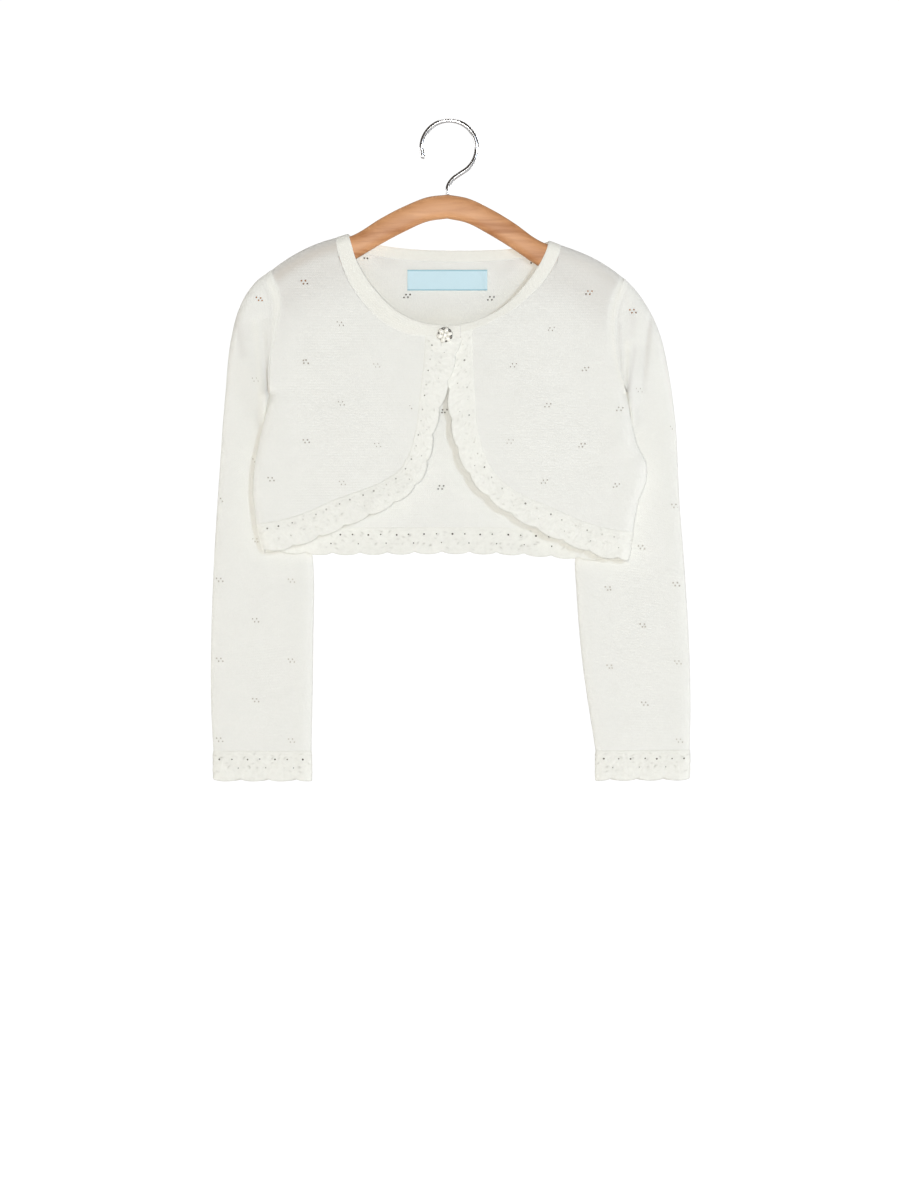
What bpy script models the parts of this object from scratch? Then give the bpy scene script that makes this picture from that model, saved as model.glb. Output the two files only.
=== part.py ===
"""Child's knitted shrug hanging on a wooden hanger, as closed solids.

The shrug is a fine-gauge bolero cardigan: a back, two rounded cutaway fronts, two long sleeves,
a narrow neck band, crochet shell edging, one flower button and a bare woven neck label.

Frame: X runs to the wearer's left, Y to the back and Z up, with the origin where the hook bears on
its rail. The tables below are in millimetres. Right and left are the wearer's.
"""

from math import pi, radians

import bmesh
import bpy
import numpy as np

MM = 0.001

# ---------------------------------------------------------------- walls and gaps (mm)
KNIT_WALL = 1.2
BAND_WALL = 1.6
TRIM_WALL = 1.8
LABEL_WALL = 0.8
SEAM_GAP = 0.3

# ---------------------------------------------------------------- crochet shell edging
SHELL_DEPTH = 2.8
SHELL_PUFF = 0.45
COLUMNS_PER_SHELL = 4
# along the edge from its start: the first notch between two shells, and the pitch of the shells
SHELLS_FRONT_RIGHT = (12.5, 20.6)
SHELLS_FRONT_LEFT = (15.5, 21.8)
SHELLS_BACK = (10.0, 20.5)
CUFF_SHELLS = 7
CUFF_FIRST_NOTCH = 0.935

# ---------------------------------------------------------------- how deep the garment hangs
SIDE_ROUND = 9.0
SHOULDER_ROUND = 7.0
SLEEVE_ROUND = 8.0
# height z, half the depth between the front and the back
HALF_DEPTHS = ((-330, 5.0), (-300, 5.2), (-230, 6.1), (-160, 6.5), (-84, 6.5))

# The right front laps over the left one: how far each moves out or in, and where.
LAP_RISE = 1.8
LAP_CENTRE = (-3.0, -172.0)
LAP_REACH = (38.0, 60.0)

# ---------------------------------------------------------------- outlines: x, z
SHOULDER_RIGHT = ((-76, -84), (-85.5, -87), (-97, -90.5), (-110, -96), (-123, -103.5),
                  (-134, -111.5))
SHOULDER_LEFT = ((74, -89), (83, -92.5), (93, -96), (106, -101.5), (118, -108.4), (130.5, -117.6))
ARMHOLE_RIGHT = ((-134, -111.5), (-127.5, -131), (-130.5, -158), (-134.5, -181), (-135, -205))
ARMHOLE_LEFT = ((130.5, -117.6), (122.5, -138), (122.5, -163), (127, -186), (132.5, -204))
SIDE_RIGHT = ((-135, -205), (-138, -220), (-142.5, -239), (-146.5, -261), (-147, -281), (-144.5, -301))
SIDE_LEFT = ((132.5, -204), (135, -221), (140, -242), (146.5, -256), (146.5, -268), (140.5, -285),
             (136.5, -307))
HEM_CORNER_RIGHT = (-139, -321)
HEM_CORNER_LEFT = (133, -328)

NECK_EDGE_RIGHT = ((-76, -84), (-74, -91), (-70, -104), (-63.5, -116), (-53.5, -129), (-43, -139.5),
                   (-30.5, -147), (-18.5, -151), (-6.5, -152.3), (8, -152.5))
NECK_SEAM_RIGHT = ((-85.5, -87), (-84.5, -94), (-81, -107), (-75.5, -120), (-67, -133), (-57, -144.5),
                   (-46, -152.8), (-33, -158.7), (-18.5, -161))
NECK_LAP_RIGHT = ((-18.5, -161), (-5, -161.6), (8, -162))
NECK_EDGE_LEFT = ((74, -89), (72.5, -95), (69.5, -102), (64, -111.5), (57, -121), (47.5, -131.5),
                  (35, -141.5), (20, -148.5), (5.5, -151.8), (-15, -153))
NECK_SEAM_LEFT = ((83, -92.5), (81.7, -98.5), (78, -107), (71.5, -118), (61.5, -129), (48.5, -139.5),
                  (33.5, -148.5), (17, -155.5))
NECK_LAP_LEFT = ((17, -155.5), (4, -159.5), (-15, -162.5))
NECK_EDGE_BACK = ((-76, -84), (-65, -88), (-52, -91.3), (-30, -94.2), (0, -95.4), (30, -95), (48, -93.9),
                  (62, -91.8), (74, -89))
NECK_SEAM_BACK = ((-85.5, -87), (-74, -94.5), (-54, -100), (-28, -103), (0, -104), (28, -103.6),
                  (51, -101.4), (70, -97.6), (83, -92.5))

TRIM_SEAM_RIGHT = ((-18.5, -161), (-19.5, -176), (-22.5, -203), (-25, -226), (-29.5, -245), (-37, -259),
                   (-49, -268), (-65, -275), (-86, -282.5), (-110, -293), (-127, -298), (-144.5, -301))
TRIM_EDGE_RIGHT = ((8, -162.5), (5, -174), (1.5, -186), (-2.5, -200), (-8, -217), (-12.5, -235),
                   (-16, -253), (-23, -269), (-35, -281), (-50, -290), (-69, -298.5), (-89, -307),
                   (-109, -315), (-124, -319.5), HEM_CORNER_RIGHT)
TRIM_SEAM_LEFT = ((17, -155.5), (17, -172), (18.5, -203), (21, -231), (27.5, -252), (37.5, -267),
                  (53, -278.5), (76, -288.5), (98.5, -298.5), (117, -304), (136.5, -307))
TRIM_EDGE_LEFT = ((-15, -166.5), (-10.5, -176), (-5.5, -187), (-2, -197), (-1, -211), (1.5, -229),
                  (6.5, -248), (15.5, -266), (27, -279.5), (41, -290.5), (58, -301), (79, -311.5),
                  (100, -320), (116, -325.5), HEM_CORNER_LEFT)
HEM_SEAM_BACK = ((-144.5, -301), (-112, -303), (-52, -303.6), (0, -303.2), (52, -304), (98, -306),
                 (136.5, -307))
HEM_EDGE_BACK = (HEM_CORNER_RIGHT, (-112, -322.8), (-52, -323), (0, -322.4), (52, -323.6), (98, -326.8),
                 HEM_CORNER_LEFT)
# A point inside the neck opening, as seen from the front.
NECK_CENTRE = (0.0, -120.0)
# Share of the trim seam, from the side up, where a front's bottom turns into its front edge.
FRONT_CORNER = 0.5

SLEEVE_OUTER_RIGHT = ((-134, -111.5), (-145, -119.5), (-152, -128.5), (-158.5, -142), (-163.5, -161.5),
                      (-168.5, -205), (-173, -264), (-177.1, -330), (-179.3, -400), (-179.1, -440),
                      (-177.5, -471.3))
SLEEVE_INNER_RIGHT = ((-136.4, -203.8), (-137.6, -211), (-138.4, -219), (-137, -231), (-131, -245),
                      (-121.5, -264), (-112.5, -283), (-107, -302.5), (-104, -325), (-103.5, -392),
                      (-104.8, -471.3))
SLEEVE_OUTER_LEFT = ((130.5, -117.6), (139.5, -126.8), (146.5, -136.8), (152.3, -147.5), (157.3, -160),
                     (162.1, -179.5), (168, -216), (172.2, -285), (176.7, -345), (180, -410),
                     (180.4, -440), (179.8, -470.5))
SLEEVE_INNER_LEFT = ((133.9, -202.8), (134.7, -210), (135.6, -218), (134.5, -230.5), (127, -244.5),
                     (116, -262), (106, -282), (99, -303), (94.8, -326), (95.8, -352), (99.7, -400),
                     (110, -471))
CUFF_LENGTH = 22.0

# Down the sleeve's outer fold: distance, half its depth, how far back its outer fold lies.
SLEEVE_OUTSIDE = ((0, 6.5, 0), (50, 6.4, 0), (62, 5.8, 1.2), (80, 4.9, 4.2), (105, 4.1, 8.4),
                  (140, 4.0, 11.0), (200, 4.1, 11.4), (375, 4.1, 11.4))
# Down the sleeve's inner fold: distance, how far back it lies, clear of the body's side.
SLEEVE_INSIDE = ((0, 0), (7, 2.5), (15, 6.0), (27, 10.5), (42, 12.9), (75, 13.0), (120, 12.1),
                 (275, 11.6))
# Growth of the inner fold's distance as the outer one's grows, so that the rings turn level.
SLEEVE_TURN = 103.0
# Distances of the rings down the outer fold, then the number of even steps from the last to the cuff.
SLEEVE_RINGS = (0, 12, 26, 42, 58, 76, 96, 120, 148, 180)
SLEEVE_LOWER_STEPS = 5
# The rings keep the armhole's bow down to this distance.
ARMHOLE_BOW = 70.0

# Soft folds: from x, from z, to x, to z, half width, rise of the outer side (a trough is below 0).
FOLDS_RIGHT_FRONT = ((-120, -120, -126, -190, 9, 0.8), (-128, -215, -112, -262, 10, 0.9),
                     (-60, -165, -72, -235, 20, 0.7))
FOLDS_LEFT_FRONT = ((116, -128, 119, -188, 9, 0.8), (131, -222, 118, -268, 9, 1.0),
                    (55, -160, 70, -240, 20, 0.7))
FOLDS_BACK = ((-50, -130, -66, -280, 22, 0.8), (48, -135, 60, -280, 24, 0.8))
FOLDS_RIGHT_SLEEVE = ((-146, -150, -137, -198, 4.5, -2.2), (-152, -165, -149, -215, 7, 0.8))
FOLDS_LEFT_SLEEVE = ((136, -178, 137, -203, 4.5, 1.1), (146, -168, 143, -214, 5, -1.4))

# ---------------------------------------------------------------- label, button
LABEL_LEFT, LABEL_RIGHT = -32.0, 28.0
LABEL_TOP, LABEL_BOTTOM = -110.0, -125.5
BUTTON_CENTRE = (-3.9, -158.9)
BUTTON_RADIUS = 6.2
PETALS = 6
PETAL_NOTCH = 0.16
# distance in front of the seat, radius as a share, how far the petals show in the outline
BUTTON_PROFILE = ((0, 0.26, 0), (0.9, 0.26, 0), (1.0, 0.8, 1), (1.7, 0.97, 1), (2.6, 1.0, 1), (3.5, 0.9, 1),
                  (3.9, 0.68, 1), (3.6, 0.42, 0.6), (4.3, 0.34, 0), (4.7, 0.2, 0))

# ---------------------------------------------------------------- hanger
HANGER_TILT = 1.75
BAR_HALF_THICKNESS = 5.4
# distance from the middle, height of the top and of the underside
BAR_HEIGHTS = ((0, -54, -72), (14, -56, -74.5), (32, -63.5, -83), (50, -73.5, -93.3), (68, -85.5, -104.7),
               (84, -92.2, -113), (95, -95.9, -119), (108, -101.5, -127), (120.5, -109.2, -134),
               (132, -118.8, -140.5), (139, -125.3, -143), (144, -131, -141.5))
# distance from the middle, share of the thickness left
BAR_ENDS_THIN = ((125, 1.0), (139, 0.85), (144, 0.55))
WIRE_RADIUS = 1.7
HOOK_RADIUS = 20.7
# how far round the hook the wire's bend runs, from the stem's side to its free end (degrees)
HOOK_FROM, HOOK_TO = -52.0, 205.0

# ---------------------------------------------------------------- spacing of the grids' points
# extra points at these distances from a fold or seam
NEAR_FOLD = (1.2, 3.6, 8.0)
NEAR_SEAM = (1.2, 3.6)
# rough lengths over which the points are spread
BACK_WIDTH, FRONT_WIDTH, ARMHOLE_LENGTH = 280.0, 160.0, 95.0


# ================================================================ curves and surfaces
def edge(*tables):
    """A dense polyline along smooth curves through each table's points, joined at corners.

    Each curve is a cubic through its points whose tangent at a point is the slope of the chords
    beside it, taken over the chords' lengths.
    """
    pieces = []
    for table in tables:
        points = np.array(table, float)
        chord = np.r_[0, np.cumsum(np.linalg.norm(np.diff(points, axis=0), axis=1))]
        slope = np.gradient(points, chord, axis=0)
        t = np.linspace(0, chord[-1], 300)
        k = np.clip(np.searchsorted(chord, t, side="right") - 1, 0, len(points) - 2)
        span = (chord[k + 1] - chord[k])[:, None]
        s = (t - chord[k])[:, None] / span
        fine = (2 * s**3 - 3 * s**2 + 1) * points[k] + (s**3 - 2 * s**2 + s) * span * slope[k]
        fine += (3 * s**2 - 2 * s**3) * points[k + 1] + (s**3 - s**2) * span * slope[k + 1]
        pieces.append(fine[1:] if pieces else fine)
    return np.vstack(pieces)


def lengths(line):
    """Distance along a polyline at each of its points."""
    return np.r_[0, np.cumsum(np.linalg.norm(np.diff(line, axis=0), axis=1))]


def along(line, shares):
    """Points of a polyline at these shares of its length."""
    run = lengths(line)
    at = np.asarray(shares, float) * run[-1]
    return np.stack([np.interp(at, run, line[:, axis]) for axis in range(line.shape[1])], axis=-1)


def away_from(line, centre, amount):
    """The line moved sideways in its plane, away from a point."""
    tangent = np.gradient(line, axis=0)
    sideways = np.stack([-tangent[:, 1], tangent[:, 0]], axis=-1)
    sideways /= np.linalg.norm(sideways, axis=-1, keepdims=True)
    return line + sideways * amount * np.sign((sideways * (line - centre)).sum())


def spread(corners, counts, length, near=(), ends=(True, True)):
    """Shares from 0 to 1: each stretch between corners divided evenly, closer together near the ends."""
    shares = [np.linspace(a, b, n + 1) for a, b, n in zip(corners[:-1], corners[1:], counts)]
    close = np.array(near, float) / length
    if ends[0]:
        shares.append(close)
    if ends[1]:
        shares.append(1 - close)
    return np.unique(np.round(np.concatenate(shares), 9))


def coons(bottom, top, left, right, across, up):
    """A patch between four edges: the two ruled surfaces added, less the one through the corners."""
    u, v = across[None, :, None], up[:, None, None]
    ruled = (1 - v) * bottom[None] + v * top[None]
    sides = (1 - u) * left[:, None] + u * right[:, None]
    corners = (1 - v) * ((1 - u) * bottom[0] + u * bottom[-1]) + v * ((1 - u) * top[0] + u * top[-1])
    return ruled + sides - corners


def distance_to(points, line):
    """Shortest distance from each point to a polyline, both in the x, z plane."""
    start, step = line[:-1], np.diff(line, axis=0)
    gap = points[..., None, :] - start
    share = np.clip((gap * step).sum(-1) / (step**2).sum(-1), 0, 1)
    return np.sqrt(((gap - share[..., None] * step) ** 2).sum(-1).min(-1))


def closing(distance, reach):
    """A quarter circle: 0 on the fold, 1 from the reach inwards."""
    share = np.clip(distance / reach, 0, 1)
    return np.sqrt(1 - (1 - share) ** 2)


# ================================================================ the garment's depth
SIDES = [edge(SIDE_RIGHT, (SIDE_RIGHT[-1], HEM_CORNER_RIGHT)),
         edge(SIDE_LEFT, (SIDE_LEFT[-1], HEM_CORNER_LEFT))]
SHOULDERS = [edge(SHOULDER_RIGHT), edge(SHOULDER_LEFT)]


def half_depth(flat):
    """Half the garment's depth at x, z: the table's value, closing to 0 at side and shoulder folds."""
    heights, halves = np.array(HALF_DEPTHS, float).T
    side = np.minimum(distance_to(flat, SIDES[0][::6]), distance_to(flat, SIDES[1][::6]))
    shoulder = np.minimum(distance_to(flat, SHOULDERS[0][::6]), distance_to(flat, SHOULDERS[1][::6]))
    folded = closing(side, SIDE_ROUND) * closing(shoulder, SHOULDER_ROUND)
    return np.interp(flat[..., 1], heights, halves) * folded


def fold_rise(flat, folds):
    """Sum of the soft folds at x, z: each is its rise times a bell curve of the distance to its line."""
    rise = np.zeros(flat.shape[:-1])
    for from_x, from_z, to_x, to_z, width, height in folds:
        line = np.array(((from_x, from_z), (to_x, to_z)), float)
        rise += height * np.exp(-((distance_to(flat, line) / width) ** 2))
    return rise


def lap(flat):
    """1 where the fronts lie on each other, falling smoothly to 0 round about."""
    offset = (flat - np.array(LAP_CENTRE)) / np.array(LAP_REACH)
    return np.exp(-(offset**2).sum(-1))


def front(flat, over, folds):
    """Front surface over x, z. It stands out where it laps over the other front (over 1), or in (-1)."""
    deep = half_depth(flat)
    rise = fold_rise(flat, folds) * np.clip(deep / 6.0, 0, 1)
    return raised(flat, -(deep + rise + over * LAP_RISE * lap(flat)))


def back(flat):
    """Back surface over x, z."""
    deep = half_depth(flat)
    return raised(flat, deep + fold_rise(flat, FOLDS_BACK) * np.clip(deep / 6.0, 0, 1))


def raised(flat, y):
    return np.stack([flat[..., 0], y, flat[..., 1]], axis=-1)


def parted(grid, bottom=0.0, top=0.0, left=0.0, right=0.0):
    """The grid with its border rows and columns drawn back along the surface, which leaves seam gaps."""
    grid = grid.copy()
    for index, beside, amount in ((0, 1, bottom), (-1, -2, top)):
        step = grid[beside] - grid[index]
        grid[index] += step / np.linalg.norm(step, axis=-1, keepdims=True) * amount
    for index, beside, amount in ((0, 1, left), (-1, -2, right)):
        step = grid[:, beside] - grid[:, index]
        grid[:, index] += step / np.linalg.norm(step, axis=-1, keepdims=True) * amount
    return grid


def normals_of(grid, ring):
    """Unit normal at each point: the sum of the normals of the cells round it, larger cells counting more."""
    closed = np.concatenate([grid, grid[:, :1]], axis=1) if ring else grid
    cell = np.cross(closed[1:, 1:] - closed[:-1, :-1], closed[:-1, 1:] - closed[1:, :-1])
    cell /= np.sqrt(np.linalg.norm(cell, axis=-1, keepdims=True))
    total = np.zeros_like(closed)
    for rows in (slice(None, -1), slice(1, None)):
        for columns in (slice(None, -1), slice(1, None)):
            total[rows, columns] += cell
    if ring:
        total[:, 0] += total[:, -1]
        total = total[:, :-1]
    return total / np.linalg.norm(total, axis=-1, keepdims=True)


# ================================================================ from grids to solids
def material(name, colour, roughness, metallic=0.0):
    made = bpy.data.materials.new(name)
    made.use_nodes = True
    shader = made.node_tree.nodes["Principled BSDF"]
    shader.inputs["Base Color"].default_value = (*colour, 1.0)
    shader.inputs["Roughness"].default_value = roughness
    shader.inputs["Metallic"].default_value = metallic
    made.diffuse_color = (*colour, 1.0)
    return made


def add_object(name, vertices, faces, finish):
    """One closed mesh in metres, its faces turned outwards, shaded smooth but for its sharp edges."""
    mesh = bpy.data.meshes.new(name)
    mesh.from_pydata((np.asarray(vertices) * MM).tolist(), [], faces)
    work = bmesh.new()
    work.from_mesh(mesh)
    bmesh.ops.recalc_face_normals(work, faces=work.faces)
    work.to_mesh(mesh)
    work.free()
    mesh.shade_smooth()
    mesh.set_sharp_from_angle(angle=radians(50))
    mesh.materials.append(finish)
    made = bpy.data.objects.new(name, mesh)
    bpy.context.collection.objects.link(made)
    return made


def quads_of(index):
    """The four corners of each cell of a grid of point numbers."""
    corners = index[:-1, :-1], index[:-1, 1:], index[1:, 1:], index[1:, :-1]
    return np.stack(corners, axis=-1).reshape(-1, 4)


def wall(name, middle, thickness, finish, ring=False, outward=(0, -1, 0), puff=0.0):
    """A closed wall about a grid of middle points: half the thickness to each side along the normal.

    The puff is added on the outer side alone. Where the middle lies on the garment's fold, at y = 0,
    the normal stays in the x, z plane, so that front and back end square to each other.
    """
    normal = normals_of(middle, ring)
    if not ring:
        normal *= np.sign((normal * np.array(outward)).sum())
        on_fold = np.abs(middle[..., 1]) < 0.4
        normal[on_fold] *= (1, 0, 1)
        normal /= np.linalg.norm(normal, axis=-1, keepdims=True)
    else:
        normal *= np.sign((normal * (middle - middle.mean(axis=1, keepdims=True))).sum())
    outer = middle + normal * (thickness / 2 + np.asarray(puff))[..., None]
    inner = middle - normal * thickness / 2
    rows, columns = middle.shape[:2]
    index = np.arange(rows * columns).reshape(rows, columns)
    skin = np.concatenate([index, index[:, :1]], axis=1) if ring else index
    quads = quads_of(skin)
    faces = [quads, quads[:, ::-1] + rows * columns]
    borders = [skin[0], skin[-1]] if ring else [skin[0], skin[-1], skin[:, 0], skin[:, -1]]
    for line in borders:
        low, high = line[:-1], line[1:]
        faces.append(np.stack([low, high, high + rows * columns, low + rows * columns], axis=-1))
    vertices = np.concatenate([outer.reshape(-1, 3), inner.reshape(-1, 3)])
    return add_object(name, vertices, np.concatenate(faces).tolist(), finish)


def loft(name, rings, finish):
    """A solid through rings of points, closed by a flat face at each end."""
    rings = np.asarray(rings)
    count, size = rings.shape[:2]
    index = np.arange(count * size).reshape(count, size)
    skin = np.concatenate([index, index[:, :1]], axis=1)
    faces = quads_of(skin).tolist() + [index[0].tolist(), index[-1].tolist()]
    return add_object(name, rings.reshape(-1, 3), faces, finish)


# ================================================================ panels
ARMHOLE_SHARES = spread((0, 1), (8,), ARMHOLE_LENGTH, NEAR_SEAM)


def side_and_armhole(side, armhole):
    """The panel's edge from hem to shoulder tip, and its shares, one at each point of the sleeve's ring."""
    line = edge(side[::-1], armhole[::-1])
    turn = lengths(edge(side))[-1] / lengths(line)[-1]
    shares = np.r_[np.linspace(0, turn, 7), turn + (1 - turn) * (1 - ARMHOLE_SHARES)]
    return line, np.unique(np.round(shares, 9))


def add_back(finish):
    neck = away_from(edge(NECK_SEAM_BACK), (0, 0), SEAM_GAP)
    top = np.vstack([edge(SHOULDER_RIGHT[:0:-1]), neck, edge(SHOULDER_LEFT[1:])])
    shoulder_right = lengths(edge(SHOULDER_RIGHT[:0:-1]))[-1] / lengths(top)[-1]
    shoulder_left = lengths(edge(SHOULDER_LEFT[1:]))[-1] / lengths(top)[-1]
    across = spread((0, shoulder_right, 1 - shoulder_left, 1), (3, 10, 3), BACK_WIDTH, NEAR_FOLD)
    close = np.array(NEAR_FOLD) / lengths(top)[-1]
    across = np.unique(np.r_[across, shoulder_right + close, 1 - shoulder_left - close])
    right, up = side_and_armhole(SIDE_RIGHT, ARMHOLE_RIGHT)
    left, _ = side_and_armhole(SIDE_LEFT, ARMHOLE_LEFT)
    bottom = along(edge(HEM_SEAM_BACK), across)
    flat = coons(bottom, along(top, across), along(right, up), along(left, up), across, up)
    gap = SEAM_GAP / 2
    grid = parted(back(flat), gap, gap, gap, gap)
    wall("back", grid, KNIT_WALL, finish, outward=(0, 1, 0))


def add_front(name, tables, over, folds, finish):
    """A cutaway front between its side and armhole, shoulder and neck, front edge and rounded hem."""
    side, armhole, shoulder, neck_seam, trim_seam = tables
    line, up = side_and_armhole(side, armhole)
    top = np.vstack([edge(shoulder[:0:-1]), away_from(edge(neck_seam), NECK_CENTRE, SEAM_GAP)])
    corner = lengths(edge(shoulder[:0:-1]))[-1] / lengths(top)[-1]
    across = spread((0, corner, 1), (3, 8), FRONT_WIDTH, NEAR_FOLD, ends=(True, False))
    across = np.unique(np.r_[across, corner + np.array(NEAR_FOLD) / lengths(top)[-1]])
    seam = edge(trim_seam[::-1])
    bottom = along(seam, across * FRONT_CORNER)
    front_edge = along(seam, FRONT_CORNER + (1 - FRONT_CORNER) * up)
    flat = coons(bottom, along(top, across), along(line, up), front_edge, across, up)
    gap = SEAM_GAP / 2
    wall(name, parted(front(flat, over, folds), gap, gap, gap, gap), KNIT_WALL, finish)


# ================================================================ crochet edging
def shell_wave(turns):
    """A round shell over each whole turn: the half circle's height, 0 at the notches and 1 between them."""
    return np.sqrt(np.clip(1 - (2 * (turns % 1.0) - 1) ** 2, 0, 1))


def trim_strip(seam, outer, shells):
    """Flat grid from the seam out to the scalloped edge, with its puff, one row for each step outwards."""
    first, pitch = shells
    end = lengths(outer)[-1]
    column = pitch / COLUMNS_PER_SHELL
    at = np.arange(first % column, end, column)
    at = np.r_[0, at[(at > column / 4) & (at < end - column / 4)], end]
    turns = (at - first) / pitch
    inside, outside = along(seam, at / end), along(outer, at / end)
    outwards = outside - inside
    outwards /= np.linalg.norm(outwards, axis=-1, keepdims=True)
    outside = outside + outwards * ((shell_wave(turns) - 0.6) * SHELL_DEPTH)[:, None]
    steps = np.array((0, 0.36, 0.72, 1.0))
    grid = inside[None] + (outside - inside)[None] * steps[:, None, None]
    puff = SHELL_PUFF * np.outer((0, 1, 1, 0), shell_wave(turns + 0.02))
    return grid, puff


def add_front_trim(name, seam, outer, shells, over, folds, finish):
    flat, puff = trim_strip(edge(seam), edge(outer), shells)
    grid = parted(front(flat, over, folds), bottom=SEAM_GAP, left=1.5 * SEAM_GAP, right=SEAM_GAP / 2)
    wall(name, grid, TRIM_WALL, finish, puff=puff)


def add_back_trim(finish):
    flat, puff = trim_strip(edge(HEM_SEAM_BACK), edge(HEM_EDGE_BACK), SHELLS_BACK)
    grid = parted(back(flat), bottom=SEAM_GAP, left=SEAM_GAP / 2, right=SEAM_GAP / 2)
    wall("trim_back", grid, TRIM_WALL, finish, outward=(0, 1, 0), puff=puff)


# ================================================================ sleeves
def sleeve_line(outer, inner, down):
    """For distances down the outer fold: a ring's fold points, half depth and how far back they lie.

    The inner fold's distance follows a hyperbola of the outer one's, so the rings start along the
    armhole, fan out and end level.
    """
    outer, inner = edge(outer), edge(inner)
    outer_end, inner_end = lengths(outer)[-1], lengths(inner)[-1]
    turn = np.hypot(down, SLEEVE_TURN) - SLEEVE_TURN
    inner_down = inner_end * turn / (np.hypot(outer_end, SLEEVE_TURN) - SLEEVE_TURN)
    table, inside = np.array(SLEEVE_OUTSIDE, float).T, np.array(SLEEVE_INSIDE, float).T
    half = np.interp(down, table[0], table[1])
    back_outer = np.interp(down, table[0], table[2])
    back_inner = np.interp(inner_down, *inside)
    outer_point, inner_point = along(outer, down / outer_end), along(inner, inner_down / inner_end)
    return outer_point, inner_point, half, back_outer, back_inner


def sleeve_ring(outer_point, inner_point, half, back_outer, back_inner, shares, side, folds):
    """Points across one flattened ring, on its front (side -1) or back (side 1).

    x and z run straight between the folds; y is the line between the folds' depths, plus the half
    depth closing to 0 at each fold.
    """
    flat = outer_point + (inner_point - outer_point) * shares[:, None]
    width = np.linalg.norm(inner_point - outer_point)
    deep = half * closing(shares * width, SLEEVE_ROUND) * closing((1 - shares) * width, SLEEVE_ROUND)
    if side < 0:
        deep = deep + fold_rise(flat, folds) * np.clip(deep / 4.0, 0, 1)
    return raised(flat, back_outer + (back_inner - back_outer) * shares + side * deep)


def add_sleeve(name, armhole, outer, inner, folds, finish):
    """A flattened tube through rings that run from the armhole seam down to the cuff's seam.

    The first ring is the armhole itself, drawn to the inner fold's first point; it is flattened like
    the body there.
    """
    end = lengths(edge(outer))[-1]
    down = np.r_[SLEEVE_RINGS[:-1], np.linspace(SLEEVE_RINGS[-1], end, SLEEVE_LOWER_STEPS + 1)]
    first = along(edge(armhole), ARMHOLE_SHARES)
    depth = half_depth(first)
    first = first + (np.array(inner[0]) - first[-1]) * ARMHOLE_SHARES[:, None] ** 6
    chord = first[0] + (first[-1] - first[0]) * ARMHOLE_SHARES[:, None]
    rings = []
    for row in zip(*sleeve_line(outer, inner, down), down):
        *ring, distance = row
        bow = (first - chord) * np.clip(1 - distance / ARMHOLE_BOW, 0, 1) ** 2
        sides = []
        for side in (-1, 1):
            points = sleeve_ring(*ring, ARMHOLE_SHARES, side, folds)
            points[:, (0, 2)] += bow
            if distance == 0:
                points[:, 1] = side * depth
            sides.append(points)
        rings.append(np.concatenate([sides[0], sides[1][-2:0:-1]]))
    grid = np.array(rings)
    wall(name, parted(grid, bottom=1.5 * SEAM_GAP, top=SEAM_GAP / 2), KNIT_WALL, finish, ring=True)


def add_cuff(name, outer, inner, finish):
    """The edging round a cuff: seven shells round the flattened tube, below the sleeve's last ring."""
    end = lengths(edge(outer))[-1]
    last = [value[0] for value in sleeve_line(outer, inner, np.array([end]))]
    count = CUFF_SHELLS * (COLUMNS_PER_SHELL + 1)
    halfway = np.arange(count) * 2 / count
    turns = halfway * CUFF_SHELLS / 2 - CUFF_FIRST_NOTCH
    on_front = halfway <= 1
    shares = np.where(on_front, halfway, 2 - halfway)
    both = [sleeve_ring(*last, shares, side, ()) for side in (-1, 1)]
    ring = np.where(on_front[:, None], both[0], both[1])
    steps = np.array((0, 0.4, 0.8, 1.0))
    drop = steps[:, None] * (CUFF_LENGTH + SHELL_DEPTH * (shell_wave(turns) - 0.6) * steps[:, None])
    grid = ring[None] + drop[..., None] * np.array((0, 0, -1.0))
    puff = SHELL_PUFF * np.outer((0, 1, 1, 0), shell_wave(turns + 0.02))
    wall(name, parted(grid, bottom=SEAM_GAP / 2), TRIM_WALL, finish, ring=True, puff=puff)


# ================================================================ neck band, label, button
def add_neck_band(finish):
    """One strip from the right front's edge, round the back of the neck, to the left front's edge."""
    rings = []
    stretches = (
        (NECK_EDGE_RIGHT[::-1], (NECK_LAP_RIGHT[::-1], NECK_SEAM_RIGHT[::-1]), 1, 16, (False, True)),
        (NECK_EDGE_BACK, (NECK_SEAM_BACK,), 0, 14, (True, True)),
        (NECK_EDGE_LEFT, (NECK_SEAM_LEFT, NECK_LAP_LEFT), -1, 16, (True, False)),
    )
    for inner, seams, over, count, ends in stretches:
        inside, seam = edge(inner), edge(*seams)
        shares = spread((0, 1), (count,), lengths(inside)[-1], NEAR_FOLD, ends)
        steps = np.array((0, 0.5, 1.0))[:, None, None]
        flat = along(inside, shares)[None] * (1 - steps) + along(seam, shares)[None] * steps
        folds = FOLDS_RIGHT_FRONT if over > 0 else FOLDS_LEFT_FRONT
        grid = front(flat, over, folds) if over else back(flat)
        rings.append(grid[:, 1:] if rings else grid)
    wall("neck_band", parted(np.concatenate(rings, axis=1), top=SEAM_GAP), BAND_WALL, finish)


def add_label(finish):
    """A strip of the back's inner side moved inwards, clear of the knit by the seam gap."""
    across, up = np.linspace(LABEL_LEFT, LABEL_RIGHT, 9), np.linspace(LABEL_BOTTOM, LABEL_TOP, 4)
    flat = np.stack(np.meshgrid(across, up), axis=-1)
    grid = back(flat) - np.array((0, KNIT_WALL / 2 + SEAM_GAP + LABEL_WALL / 2, 0))
    wall("label", grid, LABEL_WALL, finish)


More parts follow.
